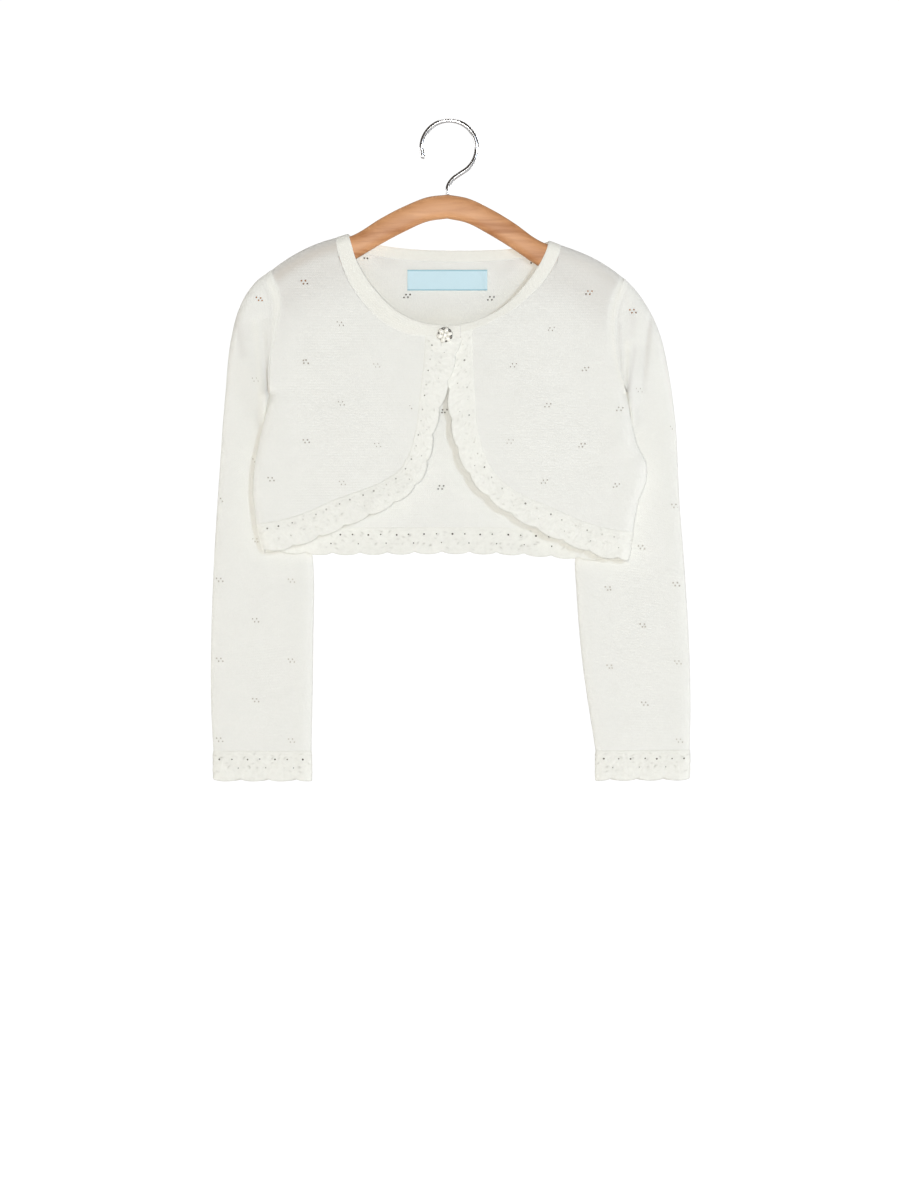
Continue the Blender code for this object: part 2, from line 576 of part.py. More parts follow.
def add_button(finish):
    """A six-petal flower: rings whose radius dips between the petals, from the shank to the middle."""
    band = front(np.array([BUTTON_CENTRE], float), 1, FOLDS_RIGHT_FRONT)[0, 1]
    seat = band - BAND_WALL / 2 - SEAM_GAP
    angle = np.linspace(0, 2 * pi, 36, endpoint=False)
    petal = 1 - PETAL_NOTCH * (1 - np.abs(np.sin(PETALS * angle / 2))) ** 1.6
    x, z = BUTTON_CENTRE
    rings = []
    for out, share, shown in BUTTON_PROFILE:
        radius = BUTTON_RADIUS * share * (1 - shown + shown * petal)
        round_x, round_z = x + radius * np.cos(angle), z + radius * np.sin(angle)
        rings.append(np.stack([round_x, np.full(angle.shape, seat - out), round_z], axis=-1))
    loft("button", rings, finish)


# ================================================================ hanger
def add_hanger_bar(finish):
    """The wooden arms: rounded sections along X, their top and underside read from the table."""
    half = np.array(BAR_HEIGHTS, float)
    table = np.concatenate([half[:0:-1] * (-1, 1, 1), half])
    angle = np.linspace(0, 2 * pi, 12, endpoint=False) + pi / 12
    across = np.sign(np.cos(angle)) * np.abs(np.cos(angle)) ** 0.7
    upright = np.sign(np.sin(angle)) * np.abs(np.sin(angle)) ** 0.8
    rings = []
    for x, top, low in table:
        thin = BAR_HALF_THICKNESS * np.interp(abs(x), *np.array(BAR_ENDS_THIN).T)
        heights = (top + low) / 2 + (top - low) / 2 * upright
        rings.append(np.stack([np.full(angle.shape, x), thin * across, heights], axis=-1))
    bar = loft("hanger_bar", rings, finish)
    bar.rotation_euler = (0, radians(HANGER_TILT), 0)


def add_hanger_hook(finish):
    """A wire bent to a question mark, with the origin on the inside of its top."""
    middle = -(HOOK_RADIUS - WIRE_RADIUS)
    stem_foot = BAR_HEIGHTS[0][1] + SEAM_GAP
    turn = np.radians(np.linspace(HOOK_FROM, HOOK_TO, 26))
    bend = np.stack([HOOK_RADIUS * np.cos(turn), middle + HOOK_RADIUS * np.sin(turn)], axis=-1)
    stem = ((0, stem_foot), (0.2, stem_foot + 6), (3.5, stem_foot + 11.5), (8.5, middle - 19.3), bend[0])
    route = np.concatenate([along(edge(stem), np.linspace(0, 1, 9))[:-1], bend])
    wire = bpy.data.curves.new("hanger_hook", "CURVE")
    wire.dimensions = "3D"
    wire.bevel_depth = WIRE_RADIUS * MM
    wire.bevel_resolution = 2
    wire.use_fill_caps = True
    wire.materials.append(finish)
    spline = wire.splines.new("POLY")
    spline.points.add(len(route) - 1)
    for point, (x, z) in zip(spline.points, route):
        point.co = (x * MM, 0, z * MM, 1)
    hook = bpy.data.objects.new("hanger_hook", wire)
    bpy.context.collection.objects.link(hook)
    hook.rotation_euler = (0, radians(HANGER_TILT), 0)


def main():
    for old in list(bpy.data.objects):
        bpy.data.objects.remove(old, do_unlink=True)

    def knit(name):
        return material(name, (0.87, 0.86, 0.81), 0.9)

    def crochet(name):
        return material(name, (0.90, 0.89, 0.85), 0.85)

    add_back(knit("back knit"))
    tables = SIDE_RIGHT, ARMHOLE_RIGHT, SHOULDER_RIGHT, NECK_SEAM_RIGHT, TRIM_SEAM_RIGHT
    add_front("front_right", tables, 1, FOLDS_RIGHT_FRONT, knit("right front knit"))
    tables = SIDE_LEFT, ARMHOLE_LEFT, SHOULDER_LEFT, NECK_SEAM_LEFT, TRIM_SEAM_LEFT
    add_front("front_left", tables, -1, FOLDS_LEFT_FRONT, knit("left front knit"))
    add_sleeve("sleeve_right", ARMHOLE_RIGHT, SLEEVE_OUTER_RIGHT, SLEEVE_INNER_RIGHT, FOLDS_RIGHT_SLEEVE,
               knit("right sleeve knit"))
    add_sleeve("sleeve_left", ARMHOLE_LEFT, SLEEVE_OUTER_LEFT, SLEEVE_INNER_LEFT, FOLDS_LEFT_SLEEVE,
               knit("left sleeve knit"))
    add_neck_band(knit("neck band knit"))
    add_front_trim("trim_front_right", TRIM_SEAM_RIGHT, TRIM_EDGE_RIGHT, SHELLS_FRONT_RIGHT, 1,
                   FOLDS_RIGHT_FRONT, crochet("right front crochet"))
    add_front_trim("trim_front_left", TRIM_SEAM_LEFT, TRIM_EDGE_LEFT, SHELLS_FRONT_LEFT, -1,
                   FOLDS_LEFT_FRONT, crochet("left front crochet"))
    add_back_trim(crochet("back hem crochet"))
    add_cuff("trim_cuff_right", SLEEVE_OUTER_RIGHT, SLEEVE_INNER_RIGHT, crochet("right cuff crochet"))
    add_cuff("trim_cuff_left", SLEEVE_OUTER_LEFT, SLEEVE_INNER_LEFT, crochet("left cuff crochet"))
    add_button(material("button pearl", (0.88, 0.86, 0.80), 0.3, 0.1))
    add_label(material("label weave", (0.62, 0.80, 0.86), 0.6))
    add_hanger_bar(material("hanger wood", (0.68, 0.40, 0.22), 0.5))
    add_hanger_hook(material("hook steel", (0.72, 0.72, 0.72), 0.3, 1.0))


main()
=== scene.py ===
"""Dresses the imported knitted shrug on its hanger.

Fine knitted panels with pointelle eyelets, crochet shell edging, a folded neck band, a bare woven
label, a six-petal button, a wooden hanger with a steel hook, and a plain pale stage.

X runs to the wearer's left, Y to the back and Z up, with the origin where the hook bears on its rail.
Tables are in millimetres and meshes in metres. Right and left are the wearer's.
"""

from functools import partial
from math import pi, radians
from types import SimpleNamespace

import bpy
import numpy as np
from bpy.props import FloatProperty, FloatVectorProperty, PointerProperty
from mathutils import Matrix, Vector


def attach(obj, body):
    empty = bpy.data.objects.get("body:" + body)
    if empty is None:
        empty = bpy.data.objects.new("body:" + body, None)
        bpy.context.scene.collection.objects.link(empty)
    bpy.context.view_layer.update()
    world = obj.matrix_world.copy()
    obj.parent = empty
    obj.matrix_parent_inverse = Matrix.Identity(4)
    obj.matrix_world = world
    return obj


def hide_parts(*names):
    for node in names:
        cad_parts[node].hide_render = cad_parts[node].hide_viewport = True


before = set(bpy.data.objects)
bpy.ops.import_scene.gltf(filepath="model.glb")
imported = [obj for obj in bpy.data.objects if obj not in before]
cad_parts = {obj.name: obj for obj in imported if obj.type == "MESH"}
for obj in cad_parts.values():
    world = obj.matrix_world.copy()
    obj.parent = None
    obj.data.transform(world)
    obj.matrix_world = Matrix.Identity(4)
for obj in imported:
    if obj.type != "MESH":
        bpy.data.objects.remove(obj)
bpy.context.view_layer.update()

bl_info = {
    "name": "Knitted shrug on a hanger",
    "version": (1, 0, 0),
    "blender": (4, 5, 0),
    "location": "View3D > Sidebar > Shrug",
    "description": "Dresses a packed knitted shrug with knit, crochet edging, button, label and hanger",
    "category": "Object",
}

MM = 0.001

# ================================================================ sizes of the garment (mm)
KNIT_WALL = 1.2
BAND_WALL = 1.6
LABEL_WALL = 0.5
SEAM_GAP = 0.3
# how far the borders of joined pieces run into each other
SEAM_JOIN = -0.05
# how far behind the shoulder fold a front's upper border ends, and how near the fold it does so
SHOULDER_LAP = 0.3
SHOULDER_REACH = 1.2

SHELL_DEPTH = 2.8
SHELL_PUFF = 0.45
CUFF_SHELLS = 7
CUFF_FIRST_NOTCH = 0.935
CUFF_LENGTH = 22.0

SIDE_ROUND = 9.0
SHOULDER_ROUND = 7.0
SLEEVE_ROUND = 8.0
# height z, half the depth between the front and the back
HALF_DEPTHS = ((-330, 5.0), (-300, 5.2), (-230, 6.1), (-160, 6.5), (-84, 6.5))
LAP_RISE = 1.8
LAP_CENTRE = (-3.0, -172.0)
LAP_REACH = (38.0, 60.0)
# share of a front's curved edge that is its patch's lower side
FRONT_CORNER = 0.5
# usual lengths across and up, from which the number of cells follows
BACK_SPAN = (280.0, 210.0)
FRONT_SPAN = (150.0, 205.0)
SLEEVE_SPAN = 84.0

HEM_CORNER_RIGHT = (-139, -321)
HEM_CORNER_LEFT = (133, -328)
NECK_CENTRE = (0.0, -120.0)

# Each half of the garment. Over is 1 for the front that lies on top, and seam is how far into the
# sleeve the middle of the armhole seam's allowance lies. Outlines are x, z. The other rows are:
# folds: from x, from z, to x, to z, half width, rise of the outer side
# creases: x, z, half width, rise at one end, and the same at the other end
# eyelets, a half-drop repeat: x, z of one motif, x, z from column to column, x, z from row to row,
# lean of its pairs
# shells: first notch, pitch, lean of the eyelets, how deep their upper row lies, from and to how pale
# the discs painted with shade in their eyelets are, how far the gaps between stitches dip and how much
# shade is painted in them
RIGHT = SimpleNamespace(
    name="right", over=1, seam=3.4,
    shoulder=((-76, -84), (-85.5, -87), (-97, -90.5), (-110, -96), (-123, -103.5), (-134, -111.5)),
    armhole=((-134, -111.5), (-127.5, -131), (-130.5, -158), (-134.5, -181), (-135, -205)),
    side=((-135, -205), (-138, -220), (-142.5, -239), (-146.5, -261), (-147, -281), (-144.5, -301)),
    neck_edge=((-76, -84), (-74, -91), (-70, -104), (-63.5, -116), (-53.5, -129), (-43, -139.5),
               (-30.5, -147), (-18.5, -151), (-6.5, -152.3), (8, -152.5)),
    neck_seam=((-85.5, -87), (-84.5, -94), (-81, -107), (-75.5, -120), (-67, -133), (-57, -144.5),
               (-46, -152.8), (-33, -158.7), (-18.5, -161)),
    neck_lap=((-18.5, -161), (-5, -161.6), (8, -162)),
    trim_seam=((-18.5, -161), (-19.5, -176), (-22.5, -203), (-25, -226), (-29.5, -245), (-37, -259),
               (-49, -268), (-65, -275), (-86, -282.5), (-110, -293), (-127, -298), (-144.5, -301)),
    trim_edge=((8, -162.5), (5, -174), (1.5, -186), (-2.5, -200), (-8, -217), (-12.5, -235), (-16, -253),
               (-23, -269), (-35, -281), (-50, -290), (-69, -298.5), (-89, -307), (-109, -315),
               (-124, -319.5), HEM_CORNER_RIGHT),
    outer=((-134, -111.5), (-145, -119.5), (-152, -128.5), (-158.5, -142), (-163.5, -161.5), (-168.5, -205),
           (-173, -264), (-177.1, -330), (-179.3, -400), (-179.1, -440), (-177.5, -471.3)),
    inner=((-135.8, -204.3), (-136.8, -211), (-138.0, -219), (-137, -231), (-131, -245), (-121.5, -264),
           (-112.5, -283), (-107, -302.5), (-104, -325), (-103.5, -392), (-104.8, -471.3)),
    front_folds=((-120, -120, -126, -190, 9, 0.8), (-128, -215, -112, -262, 10, 0.9),
                 (-60, -165, -72, -235, 20, 0.7)),
    sleeve_folds=((-146, -150, -137, -198, 4.5, -2.2), (-152, -165, -149, -215, 7, 0.8)),
    front_creases=((-131, -225, 4, -0.35, -118, -236, 4, -0.2), (-90, -270, 6, 0.3, -60, -262, 6, 0.2)),
    sleeve_creases=((-138.2, -174, 3.6, -0.1, -135.6, -203, 1.7, -1.7),
                    (-146.5, -150, 3.2, 0.7, -140.8, -204, 2.8, 1.0),
                    (-139.8, -205, 2.8, 0.8, -142, -240, 4.0, 0.5),
                    (-138.4, -158, 3.0, 0.3, -137.6, -182, 2.2, 0.2),
                    (-161, -142, 3.4, -0.9, -154.6, -174, 3.2, -0.6)),
    front_eyelets=(-109.0, -120.2, 26.7, -1.4, 0.7, -59.5, 1),
    sleeve_eyelets=(-146.1, -192.9, 26.9, -0.3, 0.0, -60.1, 1),
    shells=(12.5, 20.6, 0.0, 4.2, (0.15, 0.9), 0.6))
LEFT = SimpleNamespace(
    name="left", over=-1, seam=0.6,
    shoulder=((74, -89), (83, -92.5), (93, -96), (106, -101.5), (118, -108.4), (130.5, -117.6)),
    armhole=((130.5, -117.6), (122.5, -138), (122.5, -163), (127, -186), (132.5, -204)),
    side=((132.5, -204), (135, -221), (140, -242), (146.5, -256), (146.5, -268), (140.5, -285),
          (136.5, -307)),
    neck_edge=((74, -89), (72.5, -95), (69.5, -102), (64, -111.5), (57, -121), (47.5, -131.5), (35, -141.5),
               (20, -148.5), (5.5, -151.8), (-15, -153)),
    neck_seam=((83, -92.5), (81.7, -98.5), (78, -107), (71.5, -118), (61.5, -129), (48.5, -139.5),
               (33.5, -148.5), (17, -155.5)),
    neck_lap=((17, -155.5), (4, -159.5), (-15, -162.5)),
    trim_seam=((17, -155.5), (17, -172), (18.5, -203), (21, -231), (27.5, -252), (37.5, -267), (53, -278.5),
               (76, -288.5), (98.5, -298.5), (117, -304), (136.5, -307)),
    trim_edge=((-15, -166.5), (-10.5, -176), (-5.5, -187), (-2, -197), (-1, -211), (1.5, -229), (6.5, -248),
               (15.5, -266), (27, -279.5), (41, -290.5), (58, -301), (79, -311.5), (100, -320),
               (116, -325.5), HEM_CORNER_LEFT),
    outer=((130.5, -117.6), (139.5, -126.8), (146.5, -136.8), (152.3, -147.5), (157.3, -160),
           (162.1, -179.5), (168, -216), (172.2, -285), (176.7, -345), (180, -410), (180.4, -440),
           (179.8, -470.5)),
    inner=((133.3, -203.4), (133.9, -210), (135.2, -218), (134.5, -230.5), (127, -244.5), (116, -262),
           (106, -282), (99, -303), (94.8, -326), (95.8, -352), (99.7, -400), (110, -471)),
    front_folds=((116, -128, 119, -188, 9, 0.8), (131, -222, 118, -268, 9, 1.0),
                 (55, -160, 70, -240, 20, 0.7)),
    sleeve_folds=((136, -178, 137, -203, 4.5, 1.1), (146, -168, 143, -214, 5, -1.4)),
    front_creases=((141, -250, 4, -0.45, 122, -256, 4, -0.2), (134, -236, 4, 0.35, 120, -246, 4, 0.2)),
    sleeve_creases=((127.0, -152, 1.5, -0.7, 128.4, -186, 1.3, -0.4),
                    (138.6, -168, 1.7, -0.5, 133.6, -201, 1.3, -1.1),
                    (137.5, -141, 2.8, -0.6, 136.6, -160, 2.6, -0.3),
                    (132.4, -166, 2.6, 1.0, 131.8, -196, 1.9, 0.9),
                    (150.4, -149, 2.0, -1.1, 145, -200, 2.2, -0.4)),
    front_eyelets=(104.0, -128.0, 26.9, -1.4, -2.6, -57.1, -1),
    sleeve_eyelets=(143.9, -318.3, 25.5, 1.6, 1.2, -58.8, 1),
    shells=(15.5, 21.8, 0.0, 5.4, (0.3, 0.95), 0.6))
HALVES = RIGHT, LEFT

# the back has the same kinds of rows
BACK_SEAM = 3.4
NECK_EDGE_BACK = ((-76, -84), (-65, -88), (-52, -91.3), (-30, -94.2), (0, -95.4), (30, -95), (48, -93.9),
                  (62, -91.8), (74, -89))
NECK_SEAM_BACK = ((-85.5, -87), (-74, -94.5), (-54, -100), (-28, -103), (0, -104), (28, -103.6),
                  (51, -101.4), (70, -97.6), (83, -92.5))
HEM_SEAM_BACK = ((-144.5, -301), (-112, -303), (-52, -303.6), (0, -303.2), (52, -304), (98, -306),
                 (136.5, -307))
HEM_EDGE_BACK = (HEM_CORNER_RIGHT, (-112, -322.8), (-52, -323), (0, -322.4), (52, -323.6), (98, -326.8),
                 HEM_CORNER_LEFT)
FOLDS_BACK = ((-50, -130, -66, -280, 22, 0.8), (48, -135, 60, -280, 24, 0.8))
CREASES_BACK = ((0, -186, 24, -4.0, 0, -262, 24, -0.8), (-4, -152, 14, -2.5, -4, -178, 18, -1.5))
EYELETS_BACK = (-32.3, -129.5, 31.5, -0.9, -2.4, -57.2, -1)
SHELLS_BACK = (10.0, 20.5, 0.13, 5.4, (0.0, 0.1), 1.0)

# down the outer fold: distance, half the depth, how far back the outer fold lies
SLEEVE_OUTSIDE = ((0, 6.5, 0), (50, 6.4, 0), (62, 5.8, 1.2), (80, 4.9, 4.2), (105, 4.1, 8.4),
                  (140, 4.0, 11.0), (200, 4.1, 11.4), (375, 4.1, 11.4))
# down the inner fold: distance, how far back it lies
SLEEVE_INSIDE = ((0, 0), (8, 1.0), (16, 3.8), (27, 9.6), (42, 12.9), (75, 13.0), (120, 12.1), (275, 11.6))
SLEEVE_TURN = 103.0
# how far down a sleeve the armhole's curve and its depth still show
ARMHOLE_BOW = 70.0
ARMHOLE_BLEND = 12.0

# eyelets above this height look through to the hanger
LOOK_THROUGH = -146.0
# discs painted with shade in blind eyelets grow paler over 30 mm below this height
SHADED_ABOVE = -147.0
# above this height the sleeves' eyelets lean in, by so much over the next 60 mm
CAP_BELOW = -200.0
CAP_LEAN = 3.5
# no eyelet lies closer than this to a front's side or armhole
EYELET_MARGIN = 4.0
# from and to how pale the disc painted with shade that closes a blind eyelet halfway is
SHADE_DISCS, BACK_SHADE_DISCS, SLEEVE_SHADE_DISCS, CUFF_SHADE_DISCS = (0.1, 0.6), (0.0, 0.5), (0.35, 0.75), (0.0, 0.25)
# each motif: x and z of its four eyelets for a lean of 1
EYELET_PAIRS = ((-2.2, 1.15), (-0.8, -1.15), (0.8, 1.15), (2.2, -1.15))

LABEL_LEFT, LABEL_RIGHT = -32.0, 28.0
LABEL_TOP, LABEL_BOTTOM = -110.0, -125.5
BUTTON_CENTRE = (-3.9, -159.9)
PETALS = 6
PETAL_DISTANCE, PETAL_LONG, PETAL_WIDE = 3.45, 2.45, 1.95
PETAL_TURN = 12.0
# dark metal bosses in the notches between the petals: distance from the centre, radius of each. They
# are largest at the top and right and smallest at the lower left: real metal that also paints the
# shade on that side of the button
BOSS_DISTANCE = 4.85
BOSSES = (1.65, 1.7, 1.0, 0.4, 1.0, 1.75)
# radius and rise of each ring of the plate and of the middle disc
PLATE = ((1.5, 0.0), (1.5, 0.8), (4.3, 0.9), (4.4, 1.2), (4.2, 1.3))
DISC = ((1.9, 1.2), (1.75, 2.3), (1.4, 2.6), (0.9, 2.7), (0.3, 2.75))
# share of its outline and of its rise for each ring of a boss, and share of its outline for a petal's
BOSS_RINGS = ((1.0, 0.0), (1.0, 0.5), (0.92, 0.8), (0.72, 1.05), (0.4, 1.2))
PETAL_RINGS = (1.0, 0.99, 0.94, 0.82, 0.66, 0.48, 0.28, 0.1)
# x, z and rise along the slit of the middle disc
SLIT_CENTRE = (0.75, 0.0)
SLIT = ((0.05, 0.75, 2.5), (0.02, 0.4, 2.72), (0.0, 0.0, 2.78), (-0.02, -0.4, 2.72), (-0.05, -0.75, 2.5))

HANGER_TILT = 1.75
BAR_HALF_THICKNESS = 5.4
# distance from the middle, height of the top and of the underside
BAR_HEIGHTS = ((0, -54, -72), (14, -56, -74.5), (32, -63.5, -83), (50, -73.5, -93.3), (68, -85.5, -104.7),
               (84, -92.2, -113), (95, -95.9, -119), (108, -101.5, -127), (120.5, -109.2, -134),
               (132, -118.8, -140.5), (139, -125.3, -143), (144, -131, -141.5))
# distance from the middle, share of the bar's thickness
BAR_THINS = ((125, 1.0), (139, 0.85), (144, 0.55))
WIRE_RADIUS = 1.7
HOOK_RADIUS = 20.7
HOOK_FROM, HOOK_TO = -52.0, 205.0

# soft folds fade out where half the depth is less than this, and seams and creases likewise
FOLD_FADE = 6.0
SLEEVE_FOLD_FADE = 4.0
RELIEF_FADE = 3.0
# how dark the painted shade band below the right and the left shoulder fold is, and the wider one below both
SHOULDER_SHADES = (0.3, 0.14)
WIDE_SHADE = 0.17
# half the length over which the corners of the sleeves' depth tables are rounded
EASE = 9.0
# share of a sleeve's ring by each fold over which its seam fades out
FOLD_SHARE = 0.1
# extra points at these distances from a fold
NEAR_FOLD = (0.15, 0.5, 1.05, 1.8)
# points no deeper than this are on a fold, where the normal has no depth
FOLD_DEPTH = 0.4


def length_property(name, description, metres):
    """A property that holds a length in metres."""
    return FloatProperty(name=name, description=description, default=metres, unit="LENGTH")


def colour_property(name, description, colour):
    """A property that holds a colour."""
    return FloatVectorProperty(name=name, description=description, size=3, min=0, max=1, subtype="COLOR",
                               default=colour)


class ShrugSizes(bpy.types.PropertyGroup):
    """Sizes that change the finish, not the garment's outline."""

    cell: length_property("Knit cell", "Size of the panels' mesh cells", 0.0018)
    wale: length_property("Wale", "Width of one column of stitches", 0.0015)
    course: length_property("Course", "Height of one row of stitches", 0.0012)
    eyelet: length_property("Eyelet", "Radius of a pointelle eyelet", 0.0007)
    crochet_eyelet: length_property("Crochet eyelet", "Radius of a gap in the edging", 0.0008)
    yarn: length_property("Crochet yarn", "How far a crochet stitch stands up", 0.0007)


class ShrugColours(bpy.types.PropertyGroup):
    """Colours of the finishes."""

    knit: colour_property("Knit", "Colour of the fine knit", (0.818, 0.815, 0.766))
    # positive tone leans to the band colour: double knit, paler shade discs, and painted highlights on the
    # sleeves' ridges and behind the neck band
    band: colour_property("Band", "Colour where the knit is double", (0.850, 0.842, 0.772))
    crochet: colour_property("Crochet", "Colour of the crochet yarn", (0.880, 0.876, 0.814))
    # both eyelet colours are painted shade on the discs that close blind eyelets halfway: dark over the back
    # and the edging, softer over the fronts and sleeves
    dark: colour_property("Eyelet dark", "Depth of an eyelet over a dark inside", (0.060, 0.045, 0.035))
    shade: colour_property("Eyelet shade", "Depth of an eyelet over another layer", (0.300, 0.250, 0.200))
    between: colour_property("Between stitches", "Shade in the gaps of the edging", (0.360, 0.345, 0.290))
    # painted shadow where the tone falls far below 0, deep in creases and in the line across the neck band's
    # end
    crease_shadow: colour_property("Crevice", "Colour deep in a crease", (0.500, 0.360, 0.170))
    dusk: colour_property("Dusk", "Colour of the knit in soft shade", (0.300, 0.250, 0.260))
    label: colour_property("Label", "Colour of the woven label", (0.600, 0.790, 0.855))
    selvedge: colour_property("Label selvedge", "Colour of the label's edges", (0.330, 0.560, 0.640))
    wood: colour_property("Wood", "Light grain of the hanger", (0.720, 0.370, 0.170))
    grain: colour_property("Wood grain", "Dark grain of the hanger", (0.420, 0.170, 0.060))
    pearl: colour_property("Pearl", "Colour of the button's petals", (0.880, 0.860, 0.780))
    metal: colour_property("Button metal", "Dark antique metal of the button", (0.160, 0.150, 0.135))


def sizes():
    """The scene's sizes."""
    return bpy.context.scene.shrug_sizes


def colours():
    """The scene's colours."""
    return bpy.context.scene.shrug_colours


# ================================================================ curves and surfaces
def edge(*tables):
    """A dense polyline along smooth curves through each table's points, joined at corners.

    Each curve is a cubic through its points; the tangent at a point is the slope of the chords beside it.
    """
    pieces = []
    for table in tables:
        points = np.array(table, float)
        chord = np.r_[0, np.cumsum(np.linalg.norm(np.diff(points, axis=0), axis=1))]
        slope = np.gradient(points, chord, axis=0)
        t = np.linspace(0, chord[-1], 300)
        k = np.clip(np.searchsorted(chord, t, side="right") - 1, 0, len(points) - 2)
        span = (chord[k + 1] - chord[k])[:, None]
        s = (t - chord[k])[:, None] / span
        fine = (2 * s**3 - 3 * s**2 + 1) * points[k] + (s**3 - 2 * s**2 + s) * span * slope[k]
        fine += (3 * s**2 - 2 * s**3) * points[k + 1] + (s**3 - s**2) * span * slope[k + 1]
        pieces.append(fine[1:] if pieces else fine)
    return np.vstack(pieces)


def unit(vectors):
    """Vectors divided by their lengths."""
    return vectors / np.linalg.norm(vectors, axis=-1, keepdims=True)


def lengths(line):
    """Distance along a polyline at each of its points."""
    return np.r_[0, np.cumsum(np.linalg.norm(np.diff(line, axis=0), axis=1))]


def along(line, shares):
    """Points of a polyline at these shares of its length."""
    run = lengths(line)
    at = np.asarray(shares, float) * run[-1]
    return np.stack([np.interp(at, run, line[:, axis]) for axis in range(line.shape[1])], axis=-1)


def away_from(line, centre, amount):
    """The line moved sideways in its plane, away from a point."""
    tangent = np.gradient(line, axis=0)
    sideways = unit(np.stack([-tangent[:, 1], tangent[:, 0]], axis=-1))
    return line + sideways * amount * np.sign((sideways * (line - centre)).sum())


def spaced(length, cell, near_start=True, near_end=True, corners=()):
    """Shares from 0 to 1 about a cell apart, closer near an end on a fold, with one on each corner."""
    near = np.array(NEAR_FOLD) / length
    start = near[-1] if near_start else 0
    end = 1 - near[-1] if near_end else 1
    shares = np.linspace(start, end, max(2, round((end - start) * length / cell)) + 1)
    for corner in corners:
        shares[np.abs(shares - corner).argmin()] = corner
    if near_start:
        shares = np.r_[0, near[:-1], shares]
    if near_end:
        shares = np.r_[shares, 1 - near[-2::-1], 1]
    return shares


def coons(bottom, top, left, right, across, up):
    """A patch between four edges: the two ruled surfaces added, less the one through the corners."""
    u, v = across[None, :, None], up[:, None, None]
    ruled = (1 - v) * bottom[None] + v * top[None]
    sides = (1 - u) * left[:, None] + u * right[:, None]
    corners = (1 - v) * ((1 - u) * bottom[0] + u * bottom[-1]) + v * ((1 - u) * top[0] + u * top[-1])
    return ruled + sides - corners


def distance_to(points, line):
    """Shortest distance from each point to a polyline in the x, z plane: the least over its pieces."""
    least = np.full(points.shape[:-1], np.inf)
    for start, step in zip(line[:-1], np.diff(line, axis=0)):
        gap = points - start
        share = np.clip(gap @ step / (step @ step), 0, 1)
        least = np.minimum(least, ((gap - share[..., None] * step) ** 2).sum(-1))
    return np.sqrt(least)


def nearest(points, *lines):
    """Shortest distance from each point to any of these curves, by every sixth of the curves' points."""
    return np.minimum.reduce([distance_to(points, line[::6]) for line in lines])


def closing(distance, reach):
    """A quarter circle: 0 on the fold, 1 from the reach inwards."""
    share = np.clip(distance / reach, 0, 1)
    return np.sqrt(1 - (1 - share) ** 2)


def bell(distance, width):
    """1 on a line, falling to a third at the width."""
    return np.exp(-((distance / width) ** 2))


SIDES = [edge(half.side, (half.side[-1], half.trim_edge[-1])) for half in HALVES]
SHOULDERS = [edge(half.shoulder) for half in HALVES]


def half_depth(flat):
    """Half the garment's depth at x, z: the table's value, closing to 0 at side and shoulder folds."""
    heights, halves = np.array(HALF_DEPTHS, float).T
    folded = closing(nearest(flat, *SIDES), SIDE_ROUND) * closing(nearest(flat, *SHOULDERS), SHOULDER_ROUND)
    return np.interp(flat[..., 1], heights, halves) * folded


def fold_rise(flat, folds):
    """Sum of soft folds at x, z: each is its rise times a bell curve of the distance to its line."""
    rise = np.zeros(flat.shape[:-1])
    for from_x, from_z, to_x, to_z, width, height in folds:
        line = np.array(((from_x, from_z), (to_x, to_z)), float)
        rise += height * bell(distance_to(flat, line), width)
    return rise


def crease_rise(flat, creases):
    """Sum of tapered creases at x, z: width and rise run evenly from one end of each line to the other."""
    rise = np.zeros(flat.shape[:-1])
    for from_x, from_z, width, height, to_x, to_z, last_width, last_height in creases:
        start, step = np.array((from_x, from_z)), np.array((to_x - from_x, to_z - from_z))
        gap = flat - start
        run = gap @ step / (step @ step)
        share = np.clip(run, 0, 1)
        beyond = np.linalg.norm(gap - share[..., None] * step, axis=-1)
        rise += (height + (last_height - height) * share) * bell(beyond, width + (last_width - width) * share)
    return rise


NOISE = np.random.default_rng(11).random((64, 64))


def soft_noise(x, z, size):
    """Smooth noise from 0 to 1: random values on a square grid, joined by smooth steps."""
    x, z = np.broadcast_arrays(np.asarray(x) / size, np.asarray(z) / size)
    i, j = np.floor(x).astype(int), np.floor(z).astype(int)
    s, t = x - i, z - j
    s, t = s * s * (3 - 2 * s), t * t * (3 - 2 * t)
    low = NOISE[j % 64, i % 64] * (1 - s) + NOISE[j % 64, (i + 1) % 64] * s
    high = NOISE[(j + 1) % 64, i % 64] * (1 - s) + NOISE[(j + 1) % 64, (i + 1) % 64] * s
    return low * (1 - t) + high * t


def painted_shoulder_shade(flat):
    """Painted shade over the hanger's arms: a band below each shoulder fold, fading slowly down the panel.

    It stands partly for the dark wood seen through the knit and partly for the shade where the
    cloth rolls back over the arms.
    """
    distance = nearest(flat, *SHOULDERS)
    near = np.where(flat[..., 0] < 0, *SHOULDER_SHADES) * np.clip(np.abs(flat[..., 0]) / 80, 0.3, 1)
    return -near * bell(distance - 6.0, 5.0) - WIDE_SHADE * bell(distance - 20.0, 20.0)


def lap(flat):
    """1 where the fronts lie on each other, falling smoothly to 0 round about."""
    offset = (flat - np.array(LAP_CENTRE)) / np.array(LAP_REACH)
    return np.exp(-(offset**2).sum(-1))


def raised(flat, y):
    """Points x, y, z from flat x, z and a depth."""
    return np.stack([flat[..., 0], y, flat[..., 1]], axis=-1)


